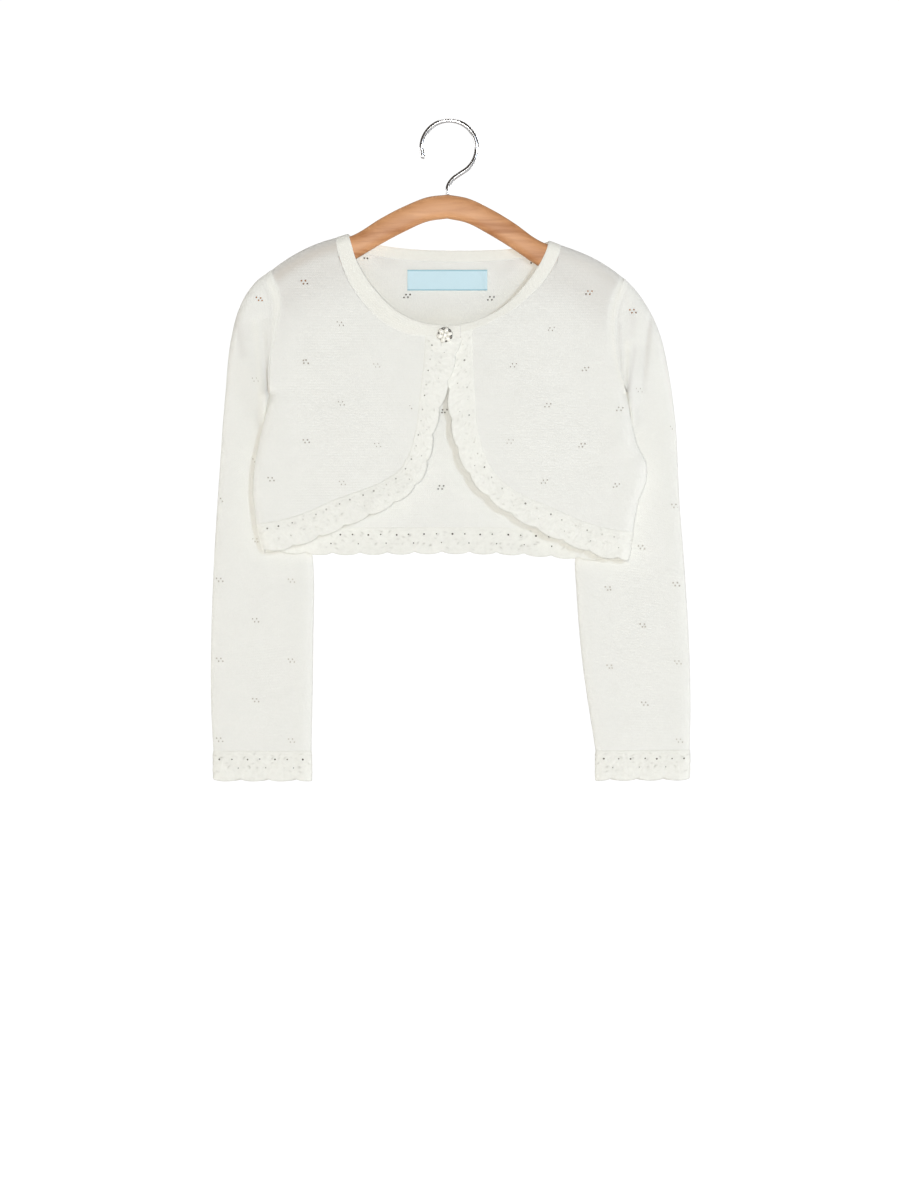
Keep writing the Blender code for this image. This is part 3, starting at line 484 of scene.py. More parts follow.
def front(flat, half):
    """Front surface over x, z: it stands out where this half laps over the other, or in below it."""
    deep = half_depth(flat)
    rise = fold_rise(flat, half.front_folds) * np.clip(deep / FOLD_FADE, 0, 1)
    return raised(flat, -(deep + rise + half.over * LAP_RISE * lap(flat)))


def back(flat):
    """Back surface over x, z."""
    deep = half_depth(flat)
    return raised(flat, deep + fold_rise(flat, FOLDS_BACK) * np.clip(deep / FOLD_FADE, 0, 1))


def parted(grid, bottom=0.0, top=0.0, left=0.0, right=0.0):
    """The grid with its border rows and columns moved inwards along the surface by these amounts."""
    grid = grid.copy()
    for lines, first, last in ((grid, bottom, top), (grid.swapaxes(0, 1), left, right)):
        for index, beside, amount in ((0, 1, first), (-1, -2, last)):
            lines[index] += unit(lines[beside] - lines[index]) * amount
    return grid


def closed(grid, ring=True):
    """The grid with its first column again after its last, if it is a ring."""
    return np.concatenate([grid, grid[:, :1]], axis=1) if ring else grid


def diagonals_crossed(grid):
    """The cross product of each cell's diagonals: its normal, as long as twice its area."""
    return np.cross(grid[1:, 1:] - grid[:-1, :-1], grid[:-1, 1:] - grid[1:, :-1])


def normals_of(grid, ring):
    """Unit normal at each point: the sum of the normals of the cells round it, larger cells counting more."""
    whole = closed(grid, ring)
    cell = diagonals_crossed(whole)
    cell /= np.sqrt(np.linalg.norm(cell, axis=-1, keepdims=True))
    total = np.zeros_like(whole)
    for rows in (slice(None, -1), slice(1, None)):
        for columns in (slice(None, -1), slice(1, None)):
            total[rows, columns] += cell
    if ring:
        total[:, 0] += total[:, -1]
        total = total[:, :-1]
    return unit(total)


def outward_normals(grid, ring, towards):
    """The grid's normals pointing towards a direction, or away from the middle of each ring."""
    normal = normals_of(grid, ring)
    if ring:
        return normal * np.sign((normal * (grid - grid.mean(axis=1, keepdims=True))).sum())
    normal *= np.sign((normal * np.array(towards)).sum())
    normal[np.abs(grid[..., 1]) < FOLD_DEPTH] *= (1, 0, 1)
    return unit(normal)


# ================================================================ from grids to meshes
SHARP_ANGLE = 55
# where the two faces of a disc painted with shade lie between the wall's skins
SHADE_DISC_PLACES = (0.42, 0.58)


def add_mesh(name, vertices, faces, finishes, slots=None, uv=None, tone=None):
    """One mesh object in metres at the origin, with its finishes, face slots and a UV map in metres."""
    mesh = bpy.data.meshes.new(name)
    mesh.from_pydata((np.asarray(vertices, float) * MM).tolist(), [], faces)
    for finish in finishes:
        mesh.materials.append(finish)
    if slots is not None:
        mesh.polygons.foreach_set("material_index", slots)
    if uv is not None:
        corner = np.empty(len(mesh.loops), np.int32)
        mesh.loops.foreach_get("vertex_index", corner)
        layer = mesh.uv_layers.new(name="cloth")
        layer.data.foreach_set("uv", (np.asarray(uv, np.float32) * MM)[corner].ravel())
    # the tone attribute holds random tone together with painted shade and painted highlights
    if tone is not None:
        mesh.attributes.new("tone", "FLOAT", "POINT").data.foreach_set("value", np.asarray(tone, np.float32))
    mesh.shade_smooth()
    mesh.set_sharp_from_angle(angle=radians(SHARP_ANGLE))
    mesh.update()
    made = bpy.data.objects.new(name, mesh)
    bpy.context.scene.collection.objects.link(made)
    return made


def between_rings(first, second):
    """The four corners of each face between two rings of point numbers."""
    return np.stack([first, np.roll(first, -1), np.roll(second, -1), second], axis=-1)


def quads_of(index):
    """The four corners of each cell of a grid of point numbers."""
    corners = index[:-1, :-1], index[:-1, 1:], index[1:, 1:], index[1:, :-1]
    return np.stack(corners, axis=-1).reshape(-1, 4)


# how many cells from the middle of its cell an eyelet may lie, and its largest radius in cells
CELL_REACH = 1.2
LARGEST_EYELET = 0.4
# an eyelet's eight rim points round the middle of its cell, across and up
RING_S = np.array((-1, 0, 1, 1, 1, 0, -1, -1), float)
RING_T = np.array((-1, -1, -1, 0, 1, 1, 1, 0), float)
# the triangles between the cell's corners, 0 to 3, and the rim's points, 4 to 11
FAN = np.array([triangle for k in range(4) for triangle in (
    (k, (k + 1) % 4, 2 * k + 5), (k, 2 * k + 5, 2 * k + 4), ((k + 1) % 4, 4 + (2 * k + 2) % 8, 2 * k + 5))])


def eyelet_cells(grid, targets, radius, columns=slice(None), shade_discs=SHADE_DISCS, through=True):
    """Cells of a grid that hold an eyelet: (row, column, s, t, radius, shade disc) for each x, z target.

    s and t are the eyelet's place in its cell from 0 to 1. The shade disc is how pale the disc painted
    with shade halfway down a blind eyelet is, within the range given, or -1 for an eyelet that goes
    right through. A target outside the grid, or in its border, or in a cell already taken, is left out.
    """
    flat = grid[:, columns][..., (0, 2)]
    offset = columns.start or 0
    middle = (flat[:-1, :-1] + flat[1:, 1:]) / 2
    found = {}
    for target in targets:
        gap = ((middle - target) ** 2).sum(-1)
        row, column = np.unravel_index(gap.argmin(), gap.shape)
        inside = 2 < row < gap.shape[0] - 3 and 2 < column < gap.shape[1] - 3
        if not inside or (row, column + offset) in found:
            continue
        along_s = flat[row, column + 1] - flat[row, column]
        along_t = flat[row + 1, column] - flat[row, column]
        spot = np.linalg.solve(np.stack([along_s, along_t], axis=1), np.array(target) - flat[row, column])
        size = np.array([np.linalg.norm(along_s), np.linalg.norm(along_t)])
        if np.abs(spot - 0.5).max() > CELL_REACH:
            continue
        fits = min(radius, LARGEST_EYELET * size.min())
        s, t = np.clip(spot, 0.05, 0.95)
        # discs painted with shade are darkest high up and grow paler, by soft noise, lower down
        low = 0.25 + 0.75 * np.clip((SHADED_ABOVE - target[1]) / 30, 0, 1)
        shade_disc = shade_discs[0] + (shade_discs[1] - shade_discs[0]) * low * float(soft_noise(target[0] + 7, target[1], 14.0))
        found[(row, column + offset)] = (s, t, fits, -1.0 if through and target[1] > LOOK_THROUGH else shade_disc)
    return [(*cell, *eyelet) for cell, eyelet in found.items()]


def drawn(grid, shift):
    """The grid's points moved along its cells, by a share of a column and a share of a row."""
    for axis, share in ((1, shift[..., :1]), (0, shift[..., 1:])):
        after, before = np.roll(grid, -1, axis) - grid, np.roll(grid, 1, axis) - grid
        grid = grid + np.maximum(share, 0) * after + np.maximum(-share, 0) * before
    return grid


def eyelet_shift(shape, eyelets):
    """How far each corner of an eyelet's cell moves, so that the eyelet is in the middle of its cell."""
    total, number = np.zeros((*shape, 2)), np.zeros((*shape, 1))
    for row, column, s, t, *_ in eyelets:
        spots = np.ix_((row, row + 1), (column, (column + 1) % shape[1]))
        total[spots] += (s - 0.5, t - 0.5)
        number[spots] += 1
    return total / np.maximum(number, 1)


def shell(name, middle, normal, out, into, uv, finishes, ring=False, eyelets=(), tone=0.0):
    """A closed cloth wall: an outer and an inner skin either side of a middle grid, and its rims.

    Outer point = middle + out x normal, inner point = middle - into x normal. Each eyelet draws its
    cell's corners to it and replaces the cell by a fan of triangles round an eight-sided hole, which
    goes right through or ends halfway in a disc painted with shade, standing in for the shade seen down
    the hole. The finishes are those of the outer skin, the inner skin and the painted shade disc.
    """
    rows, columns = shape = middle.shape[:2]
    count = rows * columns
    out, into, tone = (np.broadcast_to(value, shape) for value in (out, into, tone))
    shift = eyelet_shift(shape, eyelets)
    skins = [drawn(middle + normal * way[..., None], shift).reshape(-1, 3) for way in (out, -into)]
    uv, tone = drawn(uv, shift).reshape(-1, 2), tone.ravel()
    skin = closed(np.arange(count).reshape(shape), ring)
    kept = np.ones((rows - 1, skin.shape[1] - 1), bool)
    for row, column, *_ in eyelets:
        kept[row, column] = False
    quads = quads_of(skin)[kept.ravel()]
    groups = [(quads, 0), ((quads + count)[:, ::-1], 1)]
    borders = [(skin[0, 1:], skin[0, :-1]), (skin[-1, :-1], skin[-1, 1:])]
    if not ring:
        borders += [(skin[:-1, 0], skin[1:, 0]), (skin[1:, -1], skin[:-1, -1])]
    for first, second in borders:
        groups.append((np.stack([first, second, second + count, first + count], axis=-1), 0))

    vertices, maps, tones_and_painted_light = skins[:], [uv, uv], [tone, tone]
    base = 2 * count
    for row, column, _, _, radius, shade_disc in eyelets:
        corner = np.r_[skin[row, column:column + 2], skin[row + 1, column:column + 2][::-1]]
        near, far, near_floor, far_floor = base + np.arange(32).reshape(4, 8)
        for side, points in enumerate(skins):
            step = np.outer(RING_S, points[corner[1]] - points[corner[0]])
            step += np.outer(RING_T, points[corner[3]] - points[corner[0]])
            vertices.append(points[corner].mean(axis=0) + unit(step) * radius)
            fan = np.r_[corner + side * count, (near, far)[side]][FAN]
            groups.append((fan[:, ::-1] if side else fan, side))
        maps += [np.tile(uv[corner].mean(axis=0), (8, 1))] * 2
        tones_and_painted_light += [np.full(8, tone[corner].mean())] * 2
        base += 16
        if shade_disc < 0:
            groups.append((between_rings(near, far), 0))
            continue
        # a blind eyelet ends halfway in a disc with the painted shade finish, paled by its value
        first, second = vertices[-2:]
        vertices += [first * (1 - share) + second * share for share in SHADE_DISC_PLACES]
        maps += maps[-2:]
        tones_and_painted_light += [np.full(8, shade_disc)] * 2
        base += 16
        groups += [(between_rings(near, near_floor), 2), (near_floor[None], 2),
                   (between_rings(far, far_floor)[:, ::-1], 2), (far_floor[None, ::-1], 2)]
    across, up = middle[:-1, 1:] - middle[:-1, :-1], middle[1:, :-1] - middle[:-1, :-1]
    turned = (np.cross(across, up) * normal[:-1, :-1]).sum() < 0
    listed = [face for group, _ in groups for face in (group[:, ::-1] if turned else group).tolist()]
    slots = np.concatenate([np.full(len(group), slot) for group, slot in groups])
    return add_mesh(name, np.concatenate(vertices), listed, finishes, slots, np.concatenate(maps),
                    np.concatenate(tones_and_painted_light))


def hang(made, node):
    """Puts a piece in place of its CAD node: attaches it to the root body and hides the node."""
    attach(made, "root")
    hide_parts(node)


# ================================================================ materials
# distance in metres from rib to rib and from weft to weft of the label
LABEL_RIB, LABEL_WEFT = 0.00045, 0.0009
HOOK_STEEL = (0.72, 0.72, 0.73)


def add_node(tree, kind, inputs=(), **settings):
    """A shader node with its settings; each input is a value or another node's output socket."""
    made = tree.nodes.new(kind)
    for key, value in settings.items():
        setattr(made, key, value)
    for key, value in dict(inputs).items():
        if isinstance(value, bpy.types.NodeSocket):
            tree.links.new(value, made.inputs[key])
        else:
            made.inputs[key].default_value = value
    return made


def calc(tree, operation, *values):
    """The output of a Math node on one to three values or sockets."""
    return add_node(tree, "ShaderNodeMath", dict(enumerate(values)), operation=operation).outputs[0]


def blend(tree, share, first, second, kind="MIX"):
    """The output of a colour mix: the first colour at share 0, the second at 1."""
    made = add_node(tree, "ShaderNodeMix", {0: share, 6: first, 7: second}, data_type="RGBA", blend_type=kind)
    return made.outputs[2]


def new_group(name, inputs, outputs):
    """A shader node group with named sockets: (name, kind, default) for inputs, (name, kind) for outputs."""
    tree = bpy.data.node_groups.new(name, "ShaderNodeTree")
    for label, kind, default in inputs:
        socket = tree.interface.new_socket(name=label, in_out="INPUT", socket_type="NodeSocket" + kind)
        if default is not None:
            socket.default_value = default
    for label, kind in outputs:
        tree.interface.new_socket(name=label, in_out="OUTPUT", socket_type="NodeSocket" + kind)
    return tree, tree.nodes.new("NodeGroupInput").outputs, tree.nodes.new("NodeGroupOutput").inputs


def use_group(tree, name, inputs):
    """The outputs of a node group placed in a material with its own values."""
    return add_node(tree, "ShaderNodeGroup", inputs, node_tree=bpy.data.node_groups[name]).outputs


def group_stitches():
    """Rows of knit stitches over a map in metres.

    With u and v counted in wales and courses and a = 2|fract(u) - 1/2|, the face's height is
    sqrt(sin(pi a)) (0.6 + 0.4 cos 2 pi (v + 0.55 a)): two slanting legs to each stitch. The reverse's
    is 0.5 + 0.5 cos 2 pi (v + cos(2 pi u) / 4): rows of arched bumps.
    """
    tree, given, result = new_group(
        "knit stitches", (("Map", "Vector", None), ("Wale", "Float", 0.0015), ("Course", "Float", 0.0012)),
        (("Face", "Float"), ("Reverse", "Float")))
    part = add_node(tree, "ShaderNodeSeparateXYZ", {0: given["Map"]}).outputs
    u = calc(tree, "DIVIDE", part[0], given["Wale"])
    v = calc(tree, "DIVIDE", part[1], given["Course"])
    from_middle = calc(tree, "ABSOLUTE", calc(tree, "SUBTRACT", calc(tree, "FRACT", u), 0.5))
    a = calc(tree, "MULTIPLY", from_middle, 2.0)
    legs = calc(tree, "SQRT", calc(tree, "MAXIMUM", calc(tree, "SINE", calc(tree, "MULTIPLY", a, pi)), 0.0))
    phase = calc(tree, "MULTIPLY", calc(tree, "MULTIPLY_ADD", a, 0.55, v), 2 * pi)
    row = calc(tree, "MULTIPLY_ADD", calc(tree, "COSINE", phase), 0.4, 0.6)
    tree.links.new(calc(tree, "MULTIPLY", legs, row), result["Face"])
    arch = calc(tree, "COSINE", calc(tree, "MULTIPLY", u, 2 * pi))
    bump = calc(tree, "COSINE", calc(tree, "MULTIPLY", calc(tree, "MULTIPLY_ADD", arch, 0.25, v), 2 * pi))
    tree.links.new(calc(tree, "MULTIPLY_ADD", bump, 0.5, 0.5), result["Reverse"])


def group_tone():
    """A cloth colour with its patches, paler where the tone is above 0 and painted with shade where it is
    below.

    Above 0 it leans to the pale colour, for double knit, paler discs and painted highlights. A little
    below 0 it leans to the dusk colour of soft painted shade, and far below to the colour of painted
    shadow deep in a crease. Soft noise, finer and coarser together, then makes it a little lighter and
    darker.
    """
    tree, given, result = new_group(
        "cloth tone", (("Color", "Color", None), ("Pale", "Color", None), ("Crevice", "Color", None),
                       ("Dusk", "Color", None), ("Tone", "Float", 0.0), ("Place", "Vector", None),
                       ("Amount", "Float", 0.06), ("Scale", "Float", 60.0)), (("Color", "Color"),))
    coarse = add_node(tree, "ShaderNodeTexNoise", {"Vector": given["Place"], "Scale": given["Scale"],
                                                   "Detail": 4.0, "Roughness": 0.7}).outputs[0]
    fine_scale = calc(tree, "MULTIPLY", given["Scale"], 14.0)
    fine = add_node(tree, "ShaderNodeTexNoise", {"Vector": given["Place"], "Detail": 2.0,
                                                 "Scale": fine_scale}).outputs[0]
    both = calc(tree, "ADD", calc(tree, "SUBTRACT", coarse, 0.5), calc(tree, "SUBTRACT", fine, 0.5))
    share = calc(tree, "MULTIPLY_ADD", both, given["Amount"], 1.0)
    grey = add_node(tree, "ShaderNodeCombineColor", {0: share, 1: share, 2: share}).outputs[0]
    pale = blend(tree, calc(tree, "MAXIMUM", given["Tone"], 0.0), given["Color"], given["Pale"])
    sunk = calc(tree, "MINIMUM", calc(tree, "MULTIPLY", calc(tree, "MINIMUM", given["Tone"], 0.0), -1.0), 1.0)
    deep = blend(tree, sunk, pale, blend(tree, sunk, given["Dusk"], given["Crevice"]))
    tree.links.new(blend(tree, 1.0, deep, grey, "MULTIPLY"), result["Color"])


def group_twist():
    """Plied yarn over a map in metres: fine slanting cords, 0.5 + 0.5 sin 2 pi (u + v) / pitch, roughened."""
    tree, given, result = new_group(
        "yarn twist", (("Map", "Vector", None), ("Pitch", "Float", 0.0009)), (("Height", "Float"),))
    part = add_node(tree, "ShaderNodeSeparateXYZ", {0: given["Map"]}).outputs
    noise = add_node(tree, "ShaderNodeTexNoise", {"Vector": given["Map"], "Scale": 900.0,
                                                  "Detail": 3.0}).outputs[0]
    run = calc(tree, "DIVIDE", calc(tree, "ADD", part[0], part[1]), given["Pitch"])
    wave = calc(tree, "SINE", calc(tree, "MULTIPLY", calc(tree, "ADD", run, noise), 2 * pi))
    cord = calc(tree, "MULTIPLY_ADD", wave, 0.35, 0.5)
    tree.links.new(calc(tree, "MULTIPLY_ADD", noise, 0.5, cord), result["Height"])


def new_material(name, colour, roughness, **constants):
    """A Principled material: (its tree, its shader), with constants set on the shader's own sockets."""
    made = bpy.data.materials.new(name)
    made.use_nodes = True
    shader = made.node_tree.nodes["Principled BSDF"]
    shader.inputs["Base Color"].default_value = (*colour, 1.0)
    shader.inputs["Roughness"].default_value = roughness
    for key, value in constants.items():
        shader.inputs[key.replace("_", " ")].default_value = value
    made.diffuse_color = (*colour, 1.0)
    return made, made.node_tree, shader


def bump(tree, shader, height, distance, strength=1.0):
    """Feeds a height, in metres once scaled by the distance, to the shader's normal."""
    made = add_node(tree, "ShaderNodeBump", {"Height": height, "Distance": distance, "Strength": strength})
    tree.links.new(made.outputs[0], shader.inputs["Normal"])


def cloth_map(tree):
    """The piece's own map in metres."""
    return add_node(tree, "ShaderNodeUVMap", uv_map="cloth").outputs[0]


def place(tree):
    """Object coordinates, in metres."""
    return tree.nodes.new("ShaderNodeTexCoord").outputs["Object"]


def toned(tree, shader, colour, amount, scale, deep=None):
    """Base colour with soft lighter and darker patches, paler where the tone attribute is high, for double
    knit and painted highlights, and painted shade in the deep colour where it is low.
    """
    given = colour if isinstance(colour, bpy.types.NodeSocket) else (*colour, 1.0)
    tone = add_node(tree, "ShaderNodeAttribute", attribute_name="tone").outputs["Fac"]
    made = use_group(tree, "cloth tone", {"Color": given, "Pale": (*colours().band, 1.0), "Tone": tone,
                                          "Crevice": (*(deep or colours().crease_shadow), 1.0),
                                          "Dusk": (*(deep or colours().dusk), 1.0), "Place": place(tree),
                                          "Amount": amount, "Scale": scale})
    tree.links.new(made[0], shader.inputs["Base Color"])


def knit_material(name, output, depth):
    """Fine cotton knit: its face or its reverse, matt with a soft nap."""
    made, tree, shader = new_material(name, colours().knit, 0.92, Sheen_Weight=0.18, Sheen_Roughness=0.6,
                                      Specular_IOR_Level=0.25)
    stitches = use_group(tree, "knit stitches", {"Map": cloth_map(tree), "Wale": sizes().wale,
                                                 "Course": sizes().course})
    toned(tree, shader, colours().knit, 0.05, 45.0)
    bump(tree, shader, stitches[output], depth)
    return made


def crochet_material():
    """Crochet cotton: brighter than the knit, with plied yarn."""
    made, tree, shader = new_material("crochet cotton", colours().crochet, 0.88, Sheen_Weight=0.15,
                                      Sheen_Roughness=0.6, Specular_IOR_Level=0.25)
    toned(tree, shader, colours().crochet, 0.06, 90.0, tuple(colours().between))
    bump(tree, shader, use_group(tree, "yarn twist", {"Map": cloth_map(tree)})[0], 0.00016)
    return made


def shade_material(name, colour):
    """A disc painted with shade at the bottom of a blind eyelet, standing in for the shade seen down it."""
    made, tree, shader = new_material(name, colour, 1.0, Specular_IOR_Level=0.0)
    toned(tree, shader, colour, 0.3, 400.0)
    return made


def label_material():
    """Woven satin ribbon, bare, with darker selvedges along its top and bottom."""
    made, tree, shader = new_material("label satin", colours().label, 0.55, Sheen_Weight=0.2,
                                      Specular_IOR_Level=0.4)
    part = add_node(tree, "ShaderNodeSeparateXYZ", {0: cloth_map(tree)}).outputs
    other_edge = calc(tree, "SUBTRACT", (LABEL_TOP - LABEL_BOTTOM) * MM, part[1])
    edge_gap = calc(tree, "MINIMUM", part[1], other_edge)
    inside = add_node(tree, "ShaderNodeMapRange", {"Value": edge_gap, "From Min": 0.0007, "From Max": 0.0013},
                      interpolation_type="SMOOTHSTEP").outputs[0]
    ribbon = blend(tree, inside, (*colours().selvedge, 1.0), (*colours().label, 1.0))
    toned(tree, shader, ribbon, 0.05, 200.0)
    rib = calc(tree, "SINE", calc(tree, "MULTIPLY", part[1], 2 * pi / LABEL_RIB))
    weft = calc(tree, "SINE", calc(tree, "MULTIPLY", part[0], 2 * pi / LABEL_WEFT))
    bump(tree, shader, calc(tree, "MULTIPLY_ADD", weft, 0.3, rib), 0.00003)
    return made


def wood_material():
    """Varnished beech: grain drawn out along the bar, darker in its pores."""
    made, tree, shader = new_material("hanger wood", colours().wood, 0.55, Coat_Roughness=0.4)
    shader.inputs["Coat Weight"].default_value = 0.08
    stretch = add_node(tree, "ShaderNodeMapping", {"Vector": place(tree), "Scale": (9.0, 120.0, 120.0)})
    grain = add_node(tree, "ShaderNodeTexNoise", {"Vector": stretch.outputs[0], "Scale": 1.0, "Detail": 6.0,
                                                  "Roughness": 0.65, "Distortion": 0.6}).outputs[0]
    share = add_node(tree, "ShaderNodeMapRange", {"Value": grain, "From Min": 0.32, "From Max": 0.68})
    wood = blend(tree, share.outputs[0], (*colours().grain, 1.0), (*colours().wood, 1.0))
    tree.links.new(wood, shader.inputs["Base Color"])
    tree.links.new(calc(tree, "MULTIPLY_ADD", grain, -0.2, 0.66), shader.inputs["Roughness"])
    bump(tree, shader, grain, 0.0002)
    return made


def metal_material(name, colour, roughness, scratches):
    """Metal with fine wear: its roughness varies with small noise."""
    made, tree, shader = new_material(name, colour, roughness, Metallic=1.0)
    noise = add_node(tree, "ShaderNodeTexNoise", {"Vector": place(tree), "Scale": 1800.0, "Detail": 3.0})
    tree.links.new(calc(tree, "MULTIPLY_ADD", noise.outputs[0], scratches, roughness - scratches / 2),
                   shader.inputs["Roughness"])
    toned(tree, shader, colour, 0.2, 500.0)
    return made


def pearl_material():
    """Pearly enamel under a clear gloss."""
    made, tree, shader = new_material("button pearl", colours().pearl, 0.28, Coat_Roughness=0.08)
    shader.inputs["Coat Weight"].default_value = 0.7
    toned(tree, shader, colours().pearl, 0.08, 260.0)
    return made


def finish(name):
    """A finish that was made before."""
    if name not in bpy.data.materials:
        raise RuntimeError(f"{name} isn't made yet: run Make Finishes first")
    return bpy.data.materials[name]


def knit_finishes(shade="eyelet shade"):
    """Face, reverse and eyelet shade."""
    return finish("knit face"), finish("knit reverse"), finish(shade)


def crochet_finishes():
    """Both faces of the edging and the shade in its gaps."""
    return finish("crochet cotton"), finish("crochet cotton"), finish("eyelet dark")


# ================================================================ knitted panels
def lattice(repeat, drop=0.0):
    """Every eyelet of the half-drop repeat: motif = first + i columns + (j + 1/2 for odd i, + drop) rows."""
    x0, z0, column_x, column_z, row_x, row_z, lean = repeat
    motifs = []
    for i in range(-14, 15):
        for j in range(-9, 10):
            down = j + 0.5 * (i % 2) + drop
            x, z = x0 + i * column_x + down * row_x, z0 + i * column_z + down * row_z
            motifs += [(x + lean * dx, z + dz) for dx, dz in EYELET_PAIRS]
    return np.array(motifs)


def seam_rise(distance, middle):
    """A linked seam: a fine groove on it, a soft ridge over its allowance, and a hollow beyond."""
    ridge, hollow = bell(distance - middle, 2.3), bell(distance - middle - 4.2, 1.3)
    return 0.42 * ridge - 0.12 * bell(distance, 0.8) - 0.3 * hollow


def seam_paleness_and_shade(distance, middle):
    """Paler over the seam's allowance, where the knit is double, and painted with a little shade in the
    hollow beyond it.
    """
    return 0.75 * bell(distance - middle, 3.0) - 0.15 * bell(distance - middle - 4.4, 1.6)


def within(targets, middle):
    """Targets inside the box of a grid in x and z."""
    low, high = middle[..., (0, 2)].min((0, 1)), middle[..., (0, 2)].max((0, 1))
    return targets[((targets > low) & (targets < high)).all(-1)]


def side_line(half):
    """The panel's edge from hem to shoulder tip, and the share at which the armhole starts."""
    line = edge(half.side[::-1], half.armhole[::-1])
    return line, lengths(edge(half.side))[-1] / lengths(line)[-1]


def build_back():
    """The back: a patch between hem seam, sides and armholes, shoulders and neck, on the back surface."""
    cell = sizes().cell / MM
    from_tip, to_tip = edge(RIGHT.shoulder[:0:-1]), edge(LEFT.shoulder[1:])
    top = np.vstack([from_tip, away_from(edge(NECK_SEAM_BACK), (0, 0), SEAM_GAP), to_tip])
    run = lengths(top)[-1]
    corners = lengths(from_tip)[-1] / run, 1 - lengths(to_tip)[-1] / run
    across = spaced(BACK_SPAN[0], cell, corners=corners)
    right, turn = side_line(RIGHT)
    left, _ = side_line(LEFT)
    up = spaced(BACK_SPAN[1], cell, near_start=False, corners=(turn,))
    bottom = along(edge(HEM_SEAM_BACK), across)
    flat = coons(bottom, along(top, across), along(right, up), along(left, up), across, up)
    middle = back(flat)
    middle[..., 1] += crease_rise(flat, CREASES_BACK)
    middle = parted(middle, *[SEAM_JOIN] * 4)
    armhole = nearest(flat, edge(RIGHT.armhole), edge(LEFT.armhole))
    rise = seam_rise(armhole, BACK_SEAM) * np.clip(half_depth(flat) / RELIEF_FADE, 0, 1)
    normal = outward_normals(middle, False, (0, 1, 0))
    targets = within(lattice(EYELETS_BACK), middle)
    eyelets = eyelet_cells(middle, targets, sizes().eyelet / MM, shade_discs=BACK_SHADE_DISCS, through=False)
    # painted light: the back is paler just behind the fronts' neck edges and where it is drawn forward behind
    # the neck band, against the shade there
    below = nearest(flat, edge(RIGHT.neck_edge), edge(LEFT.neck_edge))
    tone = seam_paleness_and_shade(armhole, BACK_SEAM) + painted_shoulder_shade(flat) - 0.3 * crease_rise(flat, CREASES_BACK[1:])
    made = shell("back_knit", middle, normal, KNIT_WALL / 2 + np.maximum(rise, -0.3), KNIT_WALL / 2, flat,
                 knit_finishes("eyelet dark"), eyelets=eyelets, tone=tone + 0.8 * bell(below, 9.0))
    hang(made, "back")


def build_front(half):
    """A cutaway front: a patch between side and armhole, shoulder and neck, front edge and rounded hem."""
    cell = sizes().cell / MM
    line, turn = side_line(half)
    from_tip = edge(half.shoulder[:0:-1])
    top = np.vstack([from_tip, away_from(edge(half.neck_seam), NECK_CENTRE, SEAM_GAP)])
    corner = lengths(from_tip)[-1] / lengths(top)[-1]
    across = spaced(FRONT_SPAN[0], cell, near_end=False, corners=(corner,))
    up = spaced(FRONT_SPAN[1], cell, near_start=False, corners=(turn,))
    hem = edge(half.trim_seam[::-1])
    bottom, front_edge = (along(hem, shares) for shares in (
        across * FRONT_CORNER, FRONT_CORNER + (1 - FRONT_CORNER) * up))
    flat = coons(bottom, along(top, across), along(line, up), front_edge, across, up)
    middle = parted(front(flat, half), *[SEAM_JOIN] * 4)
    on_shoulder = distance_to(flat[-1], edge(half.shoulder)) < SHOULDER_REACH
    middle[-1, on_shoulder, 1] = SHOULDER_LAP
    armhole = nearest(flat, edge(half.armhole))
    rise = crease_rise(flat, half.front_creases) - 0.1 * bell(armhole, 0.8)
    rise = rise * np.clip(half_depth(flat) / RELIEF_FADE, 0, 1)
    normal = outward_normals(middle, False, (0, -1, 0))
    middle = middle + normal * rise[..., None]
    targets = within(lattice(half.front_eyelets), middle)
    eyelets = eyelet_cells(middle, targets[nearest(targets, line) > EYELET_MARGIN], sizes().eyelet / MM)
    made = shell(f"front_{half.name}_knit", middle, normal, KNIT_WALL / 2, KNIT_WALL / 2, flat,
                 knit_finishes(), eyelets=eyelets, tone=painted_shoulder_shade(flat) + seam_paleness_and_shade(-armhole, half.seam))
    hang(made, f"front_{half.name}")


def eased(at, table, column):
    """A table's column at these distances, its corners rounded: the mean either side."""
    table = np.array(table, float).T
    near = np.linspace(-EASE, EASE, 19)
    return np.interp(np.maximum(at[..., None] + near, 0), table[0], table[column]).mean(-1)


def sleeve_line(half, down):
    """For distances down the outer fold: a ring's fold points, half depth and how far back they lie.

    The inner fold's distance follows a hyperbola of the outer one's, so the rings start along the
    armhole, fan out and end level.
    """
    outer, inner = edge(half.outer), edge(half.inner)
    outer_end, inner_end = lengths(outer)[-1], lengths(inner)[-1]
    turn = np.hypot(down, SLEEVE_TURN) - SLEEVE_TURN
    inner_down = inner_end * turn / (np.hypot(outer_end, SLEEVE_TURN) - SLEEVE_TURN)
    return (along(outer, down / outer_end), along(inner, inner_down / inner_end),
            eased(down, SLEEVE_OUTSIDE, 1), eased(down, SLEEVE_OUTSIDE, 2),
            eased(inner_down, SLEEVE_INSIDE, 1))


